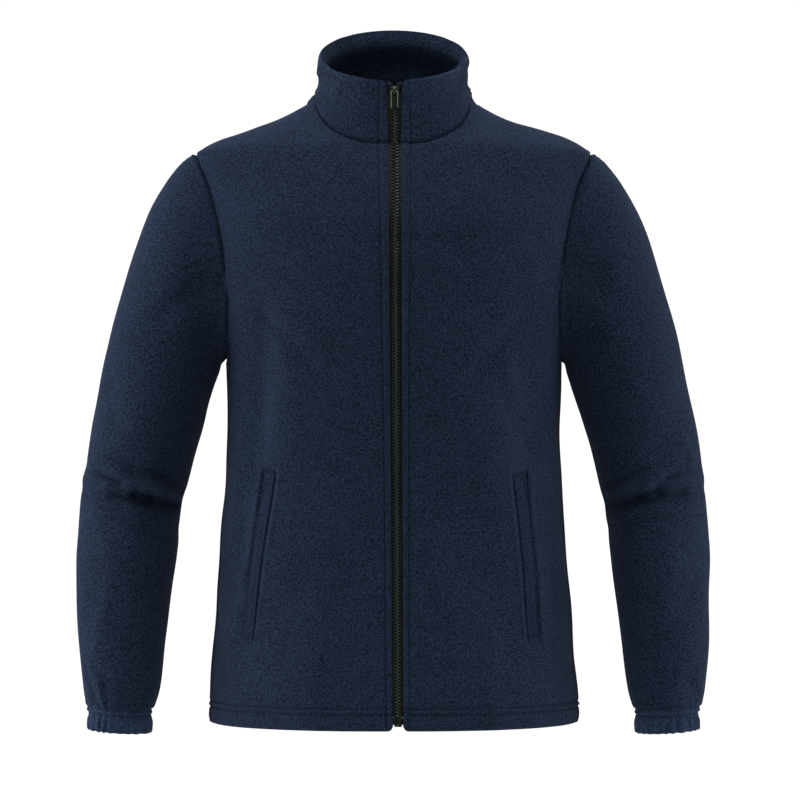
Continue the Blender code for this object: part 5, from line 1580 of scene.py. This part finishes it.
def swept(path, across, half_across, half_out, sides=10, squareness=0.75):
    """Closed rounded bar along a path that runs square to the direction across."""
    turn = np.linspace(0, 2 * math.pi, sides, endpoint=False)
    cosine = np.sign(np.cos(turn)) * np.abs(np.cos(turn)) ** squareness
    sine = np.sign(np.sin(turn)) * np.abs(np.sin(turn)) ** squareness
    out = unit(np.cross(unit(np.gradient(path, axis=0)), across))
    half_across = np.broadcast_to(half_across, len(path))
    half_out = np.broadcast_to(half_out, len(path))
    points = (path[:, None] + across * (half_across[:, None] * cosine)[..., None]
              + out[:, None] * (half_out[:, None] * sine)[..., None])
    number = np.arange(points[..., 0].size).reshape(points.shape[:2])
    number = np.concatenate([number, number[:, :1]], axis=1)
    faces = np.stack([number[:-1, :-1], number[1:, :-1], number[1:, 1:], number[:-1, 1:]], -1)
    faces = faces.reshape(-1, 4).tolist() + [number[0, :-1].tolist(), number[-1, -2::-1].tolist()]
    return points.reshape(-1, 3), faces


def tape_parts(name, settings):
    """Tape behind one front edge, in to the teeth, with its top end turned out and forward."""
    side = SIDES[name]
    pieces = cut_pieces()
    front, stand = pieces["front_" + name], pieces["collar"]
    shares = panel_columns(ZIP_STEPS) * HALF_FRONT
    count = int(np.sum(shares <= TAPE_UNDER))
    columns = np.s_[:count] if name == "right" else np.s_[:-count - 1:-1]
    hidden = [skins(front, settings)[1][TAPE_ROWS, :count],
              skins(stand, settings)[1][1:-2, columns]]
    normals = np.concatenate([front.normals[TAPE_ROWS, :count], stand.normals[1:-2, columns]])
    face = np.concatenate(hidden) - normals * GAP
    toward = []
    for reach in TAPE_REACHES:
        line = face[:, :1].copy()
        line[:, 0, 0] = zip_x(line[:, 0, 2]) + side * reach
        toward.append(line)
    face = np.concatenate(toward + [face], axis=1)
    normals = np.concatenate([normals[:, :1]] * len(TAPE_REACHES) + [normals], axis=1)
    path = np.array(slider_place()) @ np.array([(side * x, y, z, 1000) for x, y, z in TAPE_TIP]).T * 0.001
    tip = swept(path[:3].T, np.array((0.0, 1.0, 0.0)), TAPE_TIP_DEPTHS, TAPE_TIP_WIDTHS)
    return [wall(face, face - normals * TAPE, flip=side < 0), tip]


def add_block(form, size, centre, bevel, segments=2, shade=0):
    """Adds a rounded block to a bmesh, in the mesh's first finish or, with shade 1, its second: on the
    zip's parts a pale painted highlight.
    """
    before = set(form.faces)
    place = Matrix.Translation(centre) @ Matrix.Diagonal((*size, 1))
    made = bmesh.ops.create_cube(form, size=1.0, matrix=place)
    edges = list({edge for vertex in made["verts"] for edge in vertex.link_edges})
    bmesh.ops.bevel(form, geom=edges, offset=bevel, segments=segments, affect="EDGES")
    for face in set(form.faces) - before:
        face.material_index = shade


def add_solid(form, points, faces):
    """Adds points and faces to a bmesh."""
    made = [form.verts.new(point) for point in points]
    for face in faces:
        form.faces.new([made[corner] for corner in face])


def finished(form, name, place):
    """Mesh of a bmesh, moved to its place."""
    bmesh.ops.recalc_face_normals(form, faces=form.faces)
    mesh = bpy.data.meshes.new(name)
    form.to_mesh(mesh)
    form.free()
    mesh.transform(place)
    return mesh


TAB_AXIS = CHAIN_DEPTH / 2 + GAP + SLIDER_PLATE + (BRIDGE_HEIGHT - 0.0012) / 2


def slider_place():
    """Frame of the slider's middle: its bridge lies over the tab's pivot."""
    heights, faces = zip_line()
    half = SLIDER_LENGTH / 2
    low, high = np.interp([SLIDER_Z - half, SLIDER_Z + half], heights, faces)
    lean = math.atan2(high - low, SLIDER_LENGTH)
    return (Matrix.Translation(TAB_PIVOT) @ Matrix.Rotation(-lean, 4, "X")
            @ Matrix.Translation((0, TAB_AXIS, 0)))


SLIDER_OUTLINE = (
    # front plate seen from the front: wide shoulders with a dip between them, a narrower foot
    (-5.40, 2.6), (-4.75, -1.0), (-4.40, -5.4), (-3.60, -6.5), (0.0, -6.75), (3.60, -6.5),
    (4.40, -5.4), (4.75, -1.0), (5.40, 2.6), (5.00, 4.9), (3.70, 5.7), (1.60, 5.9),
    (0.9, 6.7), (-0.9, 6.7), (-1.60, 5.9), (-3.70, 5.7), (-5.00, 4.9),
)


def slider_mesh():
    """Two shaped plates with turned lips, joined by a post, and the arched bridge."""
    form = bmesh.new()
    near = CHAIN_DEPTH / 2 + GAP
    outline = np.array(SLIDER_OUTLINE) * 0.001
    thick = SLIDER_PLATE
    layers = ((0.0, 0.0005), (0.00018, 0.0002), (0.0005, 0.0), (thick - 0.0002, 0.0),
              (thick, 0.0002))
    points, faces = layered_solid(outline, layers)
    add_solid(form, points - (0, near + thick, 0), faces)
    add_solid(form, points * (1, -1, 1) + (0, near + thick, 0), [face[::-1] for face in faces])
    for x in (-0.00465, 0.00465):
        for y in (-1, 1):
            add_block(form, (0.0007, 0.0011, 0.0105), (x, y * (near - 0.0004), -0.0006), 0.00022)
    add_block(form, (0.0026, 2 * near + thick, 0.0040), (0, 0, 0.0037), 0.0004)
    # the post's cap in front, in the second finish: a painted highlight
    add_block(form, (0.0034, 0.0010, 0.0026), (0, -near - thick, 0.0054), 0.0005, 3, shade=1)
    turn = np.linspace(0, math.pi, 17)
    bar = 0.0006
    z = (BRIDGE_LENGTH / 2 - bar) * np.sign(np.cos(turn)) * np.abs(np.cos(turn)) ** 0.62
    y = near + thick + (BRIDGE_HEIGHT - bar) * np.sin(turn) ** 0.50 - bar
    arch = swept(stack(0.0, -y, z), np.array((1.0, 0.0, 0.0)), 0.0012, bar)
    add_solid(form, *arch)
    return finished(form, "zip_slider_casting", slider_place())


def tab_mesh():
    """Pull tab: a top bar, two raised rails, a sunk panel between them and a rounded foot."""
    form = bmesh.new()
    low = TAB_BAR / 2 - TAB_LENGTH
    middle_z = TAB_BAR / 2 - TAB_LENGTH / 2
    half = TAB_WIDTH / 2
    rail = 0.00125
    for side in (-1, 1):
        centre = (side * (half - rail / 2), 0, middle_z)
        # the rails in the second finish: a highlight painted along them
        add_block(form, (rail, TAB_THICKNESS, TAB_LENGTH - 0.0002), centre, 0.00042, 3, shade=1)
        eye_side = (side * (half - 0.0013), 0, -TAB_BAR / 2 - TAB_EYE_LENGTH / 2)
        add_block(form, (0.0013, TAB_THICKNESS * 0.8, TAB_EYE_LENGTH + 0.002), eye_side, 0.00025)
    # the top bar, also painted as a highlight
    add_block(form, (TAB_WIDTH - 0.0004, TAB_THICKNESS, TAB_BAR), (0, 0, 0), 0.00045, 3, shade=1)
    panel_top = -TAB_BAR / 2 - TAB_EYE_LENGTH
    panel = (TAB_WIDTH - rail, TAB_THICKNESS * 0.62, panel_top - low - 0.0004)
    add_block(form, panel, (0, 0, (panel_top + low) / 2), 0.0002)
    add_block(form, (TAB_WIDTH - 0.0006, TAB_THICKNESS, 0.0014), (0, 0, panel_top - 0.0004), 0.00035)
    add_block(form, (TAB_WIDTH - 0.0003, TAB_THICKNESS, 0.0017), (0, 0, low + 0.00085), 0.00050, 3)
    return finished(form, "pull_tab_casting",
                    slider_place() @ Matrix.Translation((0, -TAB_AXIS, 0)))


def stop_mesh(name, side):
    """Top stop: a clamped block with a raised nose towards the slider."""
    form = bmesh.new()
    centre = Vector((side * STOP_X, 0, SLIDER_LENGTH / 2 + GAP + STOP_SIZE[2] / 2))
    add_block(form, STOP_SIZE, centre, 0.0005, 3)
    nose = (STOP_SIZE[0] * 0.6, STOP_SIZE[1] * 0.92, STOP_SIZE[2] * 0.45)
    add_block(form, nose, centre + Vector((-side * 0.0006, 0, -0.0008)), 0.0003)
    return finished(form, "zip_stop_" + name + "_clamp", slider_place())


ENDS_Z = HEM_Z + CHAIN_BOTTOM - GAP - BOX_SIZE[2] / 2


def end_place(x):
    place, _ = zip_frame(ENDS_Z)
    return Matrix.Translation((x, float(place[1]), ENDS_Z))


def end_meshes():
    """Box with its waist, its slot and the shoe under the pin, and the pin with its collar."""
    total = BOX_SIZE[0] + GAP + PIN_SIZE[0]
    middle = float(zip_x(ENDS_Z))
    width, depth, height = BOX_SIZE
    box = bmesh.new()
    add_block(box, (width, depth, height * 0.42), (0, 0, height * 0.29), 0.0006, 3)
    add_block(box, (width * 0.84, depth * 0.9, height * 0.62), (-0.0003, 0, -height * 0.19), 0.0005, 3)
    add_block(box, (width * 0.92, depth, height * 0.16), (-0.0001, 0, -height * 0.40), 0.0004, 2)
    add_block(box, (0.0012, depth * 1.04, height * 0.5), (width * 0.16, 0, -height * 0.05), 0.0003)
    add_block(box, (width * 0.7, depth * 0.8, 0.0024), (width * 0.08, 0, height / 2 + 0.0002), 0.0004)
    # the box's top corner in the second finish: a painted highlight
    add_block(box, (0.0011, depth, 0.0022), (width / 2, 0, height * 0.44), 0.0003, shade=1)
    add_block(box, (0.0076, depth * 0.8, 0.0034), (-0.0018, 0, 0.0017 - height / 2), 0.0006)
    # a painted highlight low on the box's middle
    add_block(box, (0.0026, depth, 0.0016), (-0.0026, -0.0002, -height * 0.38), 0.0005, shade=1)
    pin = bmesh.new()
    width, depth, height = PIN_SIZE
    add_block(pin, (width * 0.8, depth * 0.8, height), (0, 0, 0), 0.0008, 3)
    add_block(pin, (width, depth, height * 0.4), (0, 0, height * 0.28), 0.0005, 3)
    # the pin's top corner in the second finish: a painted highlight
    add_block(pin, (0.0011, depth, 0.0022), (-width / 2, 0, height * 0.44), 0.0003, shade=1)
    return (finished(box, "zip_box_moulding", end_place(middle + total / 2 - BOX_SIZE[0] / 2)),
            finished(pin, "zip_pin_moulding", end_place(middle - total / 2 + PIN_SIZE[0] / 2)))


# ---------------------------------------------------------------- settings
def colour_setting(name, description, hex_colour):
    return bpy.props.FloatVectorProperty(name=name, description=description, subtype="COLOR",
                                         size=4, min=0.0, max=1.0, default=linear(hex_colour))


def length_setting(name, description, default, least, most):
    return bpy.props.FloatProperty(name=name, description=description, default=default, min=least,
                                   max=most, precision=5, unit="LENGTH")


class FleeceJacketSettings(bpy.types.PropertyGroup):
    """Sizes and colours of the jacket that a user would change."""

    seam_depth: length_setting(
        "Seam depth", "How far a seam sinks into the fleece", 0.0009, 0.0, 0.0020)
    stitch_depth: length_setting(
        "Stitch depth", "How far a row of topstitching sinks into the fleece", 0.0011, 0.0, 0.0020)
    stitch_pitch: length_setting(
        "Stitch length", "Distance from one stitch to the next", 0.0032, 0.0015, 0.0060)
    thread_radius: length_setting(
        "Thread radius", "Half the thickness of the sewing thread", 0.00030, 0.0001, 0.0006)
    rim_thickness: length_setting(
        "Rim thickness", "Thickness of the collar's rolled rim", 0.0105, 0.0050, 0.0120)
    gather_depth: length_setting(
        "Gather depth", "Height of the gathers above the cuffs", 0.0013, 0.0, 0.0025)
    tooth_pitch: length_setting(
        "Tooth pitch", "Distance between the teeth of one side of the zip", 0.0036, 0.0030, 0.0045)
    nap_clump: length_setting(
        "Nap clump", "Width of the small clumps in the fleece's brushed pile", 0.0017, 0.0010, 0.0060)
    wall_light: bpy.props.FloatProperty(
        name="Wall light", description="Brightness of the studio's walls", default=0.20, min=0.0)
    top_light: bpy.props.FloatProperty(
        name="Top light", description="Power of the soft light above the jacket",
        default=40.0, min=0.0, subtype="POWER")
    side_light: bpy.props.FloatProperty(
        name="Side light",
        description="Power of the soft light on the wearer's right, which the left and low ones follow",
        default=40.0, min=0.0, subtype="POWER")
    fleece_dark: colour_setting("Fleece, dark", "Colour between the clumps of the pile", "#101824")
    fleece_light: colour_setting("Fleece, light", "Colour on top of the pile", "#2a3851")
    # the cuffs' fleece is painted paler than the body's, standing for the light that falls on their
    # gathers
    cuff_dark: colour_setting("Cuff, dark", "Colour between the clumps on the drawn-in cuffs", "#162031")
    cuff_light: colour_setting("Cuff, light", "Colour on top of the pile on the cuffs", "#364562")
    welt_dark: colour_setting("Welt, dark", "Colour between the clumps on the welts", "#0e1622")
    welt_light: colour_setting("Welt, light", "Colour on top of the pile on the welts", "#23304a")
    tape: colour_setting("Tape", "Colour of the woven zip tape", "#0b1811")
    teeth: colour_setting("Teeth", "Colour of the moulded zip teeth", "#0b170c")
    slider: colour_setting("Slider", "Colour of the enamelled slider and tab", "#0a170d")
    # pale shade painted as highlights on the slider's cap, the tab's rails and bar, the teeth's ribs and
    # the tips of the box and pin
    rubbed: colour_setting("Painted highlights", "Colour where fingers rub the zip", "#6c866f")
    thread: colour_setting("Thread", "Colour of the sewing thread", "#1b2436")


# ---------------------------------------------------------------- operators
class FleeceJacketStep(bpy.types.Operator):
    """One step of the jacket's making."""

    bl_idname = "fleece_jacket.step"
    bl_label = "Jacket step"
    bl_options = {"REGISTER", "UNDO"}

    def make(self, settings):
        raise NotImplementedError

    def execute(self, context):
        self.make(context.scene.fleece_jacket)
        return {"FINISHED"}


class SewBody(FleeceJacketStep):
    """Sew the two fronts and the back, with turned hem and stitched zip edges"""

    bl_idname = "fleece_jacket.sew_body"
    bl_label = "Fronts and back"

    def make(self, settings):
        front = (0.280, 0.745, 0.170)
        cuts = {"front_left": front, "front_right": front, "back": (0.530, 0.765, 0.362)}
        for name, (width, length, area) in cuts.items():
            item = show_cloth(name, settings, finish("fleece", settings))


class SewSleeves(FleeceJacketStep):
    """Sew both set-in sleeves, creased at the elbows and gathered into the cuffs"""

    bl_idname = "fleece_jacket.sew_sleeves"
    bl_label = "Sleeves"

    def make(self, settings):
        for name in SIDES:
            item = show_cloth("sleeve_" + name, settings, finish("fleece", settings))


class SewCollar(FleeceJacketStep):
    """Sew the doubled stand collar with its rolled rim"""

    bl_idname = "fleece_jacket.sew_collar"
    bl_label = "Collar"

    def make(self, settings):
        item = show_cloth("collar", settings, finish("fleece", settings))


class SewCuffs(FleeceJacketStep):
    """Sew the elasticated cuffs"""

    bl_idname = "fleece_jacket.sew_cuffs"
    bl_label = "Cuffs"

    def make(self, settings):
        for name in SIDES:
            # the cuffs take the paler copy of the fleece, with light painted in
            item = show_cloth("cuff_" + name, settings, finish("cuff", settings))


class SewPocketWelts(FleeceJacketStep):
    """Sew the welts of the two slanted pockets"""

    bl_idname = "fleece_jacket.sew_pocket_welts"
    bl_label = "Pocket welts"

    def make(self, settings):
        for name, side in SIDES.items():
            piece, outer, inner = welt_skins(side)
            mesh = joined_mesh(f"pocket_welt_{name}_cloth", [wall(outer, inner, piece.flip)])
            item = show(mesh, finish("welt", settings), "pocket_welt_" + name)


class StitchSeams(FleeceJacketStep):
    """Topstitch the zip edges, the hem and the cuffs, and tack the ends of the pockets"""

    bl_idname = "fleece_jacket.stitch_seams"
    bl_label = "Topstitching"

    def make(self, settings):
        pieces = cut_pieces()
        runs = {"zip": [], "hem": [], "cuff": [], "pocket": []}
        zip_column = ZIP_STEPS.index(ZIP_STITCH)
        for name in SIDES:
            front = pieces["front_" + name]
            outer, _ = skins(front, settings)
            runs["zip"].append(stitch_run(front, outer, np.s_[5:], zip_column, settings))
            for distance in HEM_STITCHES:
                row = HEM_STEPS.index(distance)
                runs["hem"].append(stitch_run(front, outer, row, np.s_[zip_column + 1:], settings))
            cuff_piece = pieces["cuff_" + name]
            outer, _ = skins(cuff_piece, settings)
            row = CUFF_DROPS.index(CUFF_STITCH)
            around = np.append(np.arange(CUFF_POINTS), 0)
            runs["cuff"].append(stitch_run(cuff_piece, outer, row, around, settings))
            piece, outer, _ = welt_skins(SIDES[name])
            for end in (5, -6):
                run = stitch_run(piece, outer, end, np.s_[3:-3], settings)
                runs["pocket"].append(run._replace(pitch=TACK_PITCH, length=TACK_LENGTH))
        stand = pieces["collar"]
        outer, _ = skins(stand, settings)
        for col in (zip_column, -1 - zip_column):
            runs["zip"].append(stitch_run(stand, outer, np.s_[:-8], col, settings))
        back = pieces["back"]
        outer, _ = skins(back, settings)
        for distance in HEM_STITCHES:
            row = HEM_STEPS.index(distance)
            runs["hem"].append(stitch_run(back, outer, row, np.s_[:], settings))
        for kind, own in runs.items():
            mesh = joined_mesh(f"{kind}_topstitching", stitches(own, settings.thread_radius))
            show(mesh, finish("thread", settings))


class FitZipTapes(FleeceJacketStep):
    """Lay the zip's woven tapes behind the front edges"""

    bl_idname = "fleece_jacket.fit_zip_tapes"
    bl_label = "Zip tapes"

    def make(self, settings):
        for name in SIDES:
            mesh = joined_mesh(f"zip_tape_{name}_woven", tape_parts(name, settings))
            item = show(mesh, finish("tape", settings), "zip_tape_" + name)


class FitZipChain(FleeceJacketStep):
    """Mould the closed teeth on to the tapes"""

    bl_idname = "fleece_jacket.fit_zip_chain"
    bl_label = "Zip teeth"

    def make(self, settings):
        teeth = chain_teeth(settings.tooth_pitch)
        mesh = joined_mesh("zip_chain_teeth", teeth)
        show(mesh, finish("teeth", settings), "zip_chain", sharp=60.0)
        # second finish: the pale shade painted on each tooth's rib as a highlight
        mesh.materials.append(finish("rubbed", settings))
        plain = len(teeth[0][1]) - len(RIB_FACES)
        highlight_indices = [0] * plain + [1] * len(RIB_FACES)
        mesh.polygons.foreach_set("material_index", highlight_indices * len(teeth))


class FitZipSlider(FleeceJacketStep):
    """Set the slider at the top of the zip"""

    bl_idname = "fleece_jacket.fit_zip_slider"
    bl_label = "Zip slider"

    def make(self, settings):
        slider = slider_mesh()
        show(slider, finish("slider", settings), "zip_slider")
        # second finish: the pale shade painted on the cap as a highlight
        slider.materials.append(finish("rubbed", settings))


class FitPullTab(FleeceJacketStep):
    """Hang the pull tab on the slider's bridge"""

    bl_idname = "fleece_jacket.fit_pull_tab"
    bl_label = "Pull tab"

    def make(self, settings):
        tab = tab_mesh()
        show(tab, finish("slider", settings), "zip_pull_tab", "pull_tab")
        # second finish: the pale shade painted on the rails and bar as a highlight
        tab.materials.append(finish("rubbed", settings))


class FitZipEnds(FleeceJacketStep):
    """Fix the top stops, the bottom box and the insertion pin"""

    bl_idname = "fleece_jacket.fit_zip_ends"
    bl_label = "Zip ends"

    def make(self, settings):
        teeth = finish("teeth", settings)
        for name, side in SIDES.items():
            show(stop_mesh(name, side), teeth, "zip_stop_" + name)
        for mesh, name in zip(end_meshes(), ("zip_box", "zip_pin")):
            show(mesh, teeth, name)
            # second finish: the pale shade painted on the tips as highlights
            mesh.materials.append(finish("rubbed", settings))


FLOOR_HALF = 5.0
FLOOR_Z = -1.46
CHEST = Vector((0.0, 0.0, -0.30))
EYE = (0.007345, -4.0, -0.339)
PICTURE_WIDTH = 0.904     # what the picture takes in at the jacket
SENSOR_WIDTH = 36.0       # millimetres
Softbox = namedtuple("Softbox", "name place size of_side")   # the last: its share of side_light
SOFTBOXES = rows_of(Softbox, (
    ("left_softbox", (-2.0, -0.25, -0.35), 1.4, 1.0),
    ("right_softbox", (2.0, -0.25, -0.35), 1.4, 0.7),
    ("low_softbox", (0.0, -0.75, -1.10), 0.5, 0.035),
))


def lay_floor(scene):
    """A wide pale floor, as far below the shoulders as the wearer's feet would be."""
    half, level = FLOOR_HALF, FLOOR_Z
    floor = bpy.data.meshes.new("studio_floor")
    floor.from_pydata([(-half, -half, level), (half, -half, level), (half, half, level),
                       (-half, half, level)], [], [(0, 1, 2, 3)])
    floor.materials.append(matt_paint("matt_pale_paint", linear("#c9c9c9")))
    item = bpy.data.objects.new("studio_floor", floor)
    scene.collection.objects.link(item)


def light_walls(scene, strength):
    """White paper behind the jacket, and elsewhere dim walls under a brighter ceiling."""
    world = bpy.data.worlds.new("studio")
    world.use_nodes = True
    tree = world.node_tree
    way = add_node(tree, "ShaderNodeTexCoord").outputs["Generated"]
    way = add_node(tree, "ShaderNodeSeparateXYZ", None, {"Vector": way}).outputs
    room = add_node(tree, "ShaderNodeMapRange", None,
                    {"Value": way["Z"], "From Min": -0.3, "From Max": 0.9,
                     "To Min": strength * 0.3, "To Max": strength * 1.7}).outputs[0]
    level = add_node(tree, "ShaderNodeMapRange", None,
                     {"Value": way["Y"], "From Min": 0.6, "From Max": 0.92, "To Min": room,
                      "To Max": 1.05}).outputs[0]
    tree.links.new(level, tree.nodes["Background"].inputs["Strength"])
    tree.nodes["Background"].inputs["Color"].default_value = (1.0, 1.0, 1.0, 1.0)
    scene.world = world


def hang_softbox(scene, name, place, size, power):
    """A square soft light aimed at the chest."""
    light = bpy.data.lights.new(name, "AREA")
    light.size = size
    light.energy = power
    lamp = bpy.data.objects.new(name, light)
    lamp.location = place
    lamp.visible_camera = False
    lamp.rotation_euler = (CHEST - Vector(place)).to_track_quat("-Z", "Y").to_euler()
    scene.collection.objects.link(lamp)


class SetStage(FleeceJacketStep):
    """Set the pale floor, the soft studio light and the camera"""

    bl_idname = "fleece_jacket.set_stage"
    bl_label = "Stage"

    def make(self, settings):
        scene = bpy.context.scene
        lay_floor(scene)
        light_walls(scene, settings.wall_light)
        hang_softbox(scene, "top_softbox", (-0.1, -0.25, 1.75), 1.3, settings.top_light)
        for box in SOFTBOXES:
            hang_softbox(scene, box.name, box.place, box.size, settings.side_light * box.of_side)
        camera = bpy.data.cameras.new("camera")
        camera.sensor_width = SENSOR_WIDTH
        camera.lens = SENSOR_WIDTH * -EYE[1] / PICTURE_WIDTH
        eye = bpy.data.objects.new("camera", camera)
        eye.location = EYE
        eye.rotation_euler = (math.pi / 2, 0.0, 0.0)
        scene.collection.objects.link(eye)
        scene.camera = eye
        scene.view_settings.view_transform = "Standard"


STEPS = (SewBody, SewSleeves, SewCollar, SewCuffs, SewPocketWelts, StitchSeams, FitZipTapes,
         FitZipChain, FitZipSlider, FitPullTab, FitZipEnds, SetStage)


class FleeceJacketPanel(bpy.types.Panel):
    """Settings and steps of the jacket"""

    bl_idname = "VIEW3D_PT_fleece_jacket"
    bl_label = "Fleece Jacket"
    bl_space_type = "VIEW_3D"
    bl_region_type = "UI"
    bl_category = "Jacket"

    def draw(self, context):
        settings = context.scene.fleece_jacket
        for name in settings.bl_rna.properties.keys():
            if name not in ("rna_type", "name"):
                self.layout.prop(settings, name)
        for step in STEPS:
            self.layout.operator(step.bl_idname)


CLASSES = (FleeceJacketSettings,) + STEPS + (FleeceJacketPanel,)


def register():
    for item in CLASSES:
        bpy.utils.register_class(item)
    bpy.types.Scene.fleece_jacket = bpy.props.PointerProperty(type=FleeceJacketSettings)


def unregister():
    del bpy.types.Scene.fleece_jacket
    for item in reversed(CLASSES):
        bpy.utils.unregister_class(item)


def main():
    register()
    for step in STEPS:
        group, name = step.bl_idname.split(".")
        getattr(getattr(bpy.ops, group), name)()


if __name__ == "__main__":
    main()
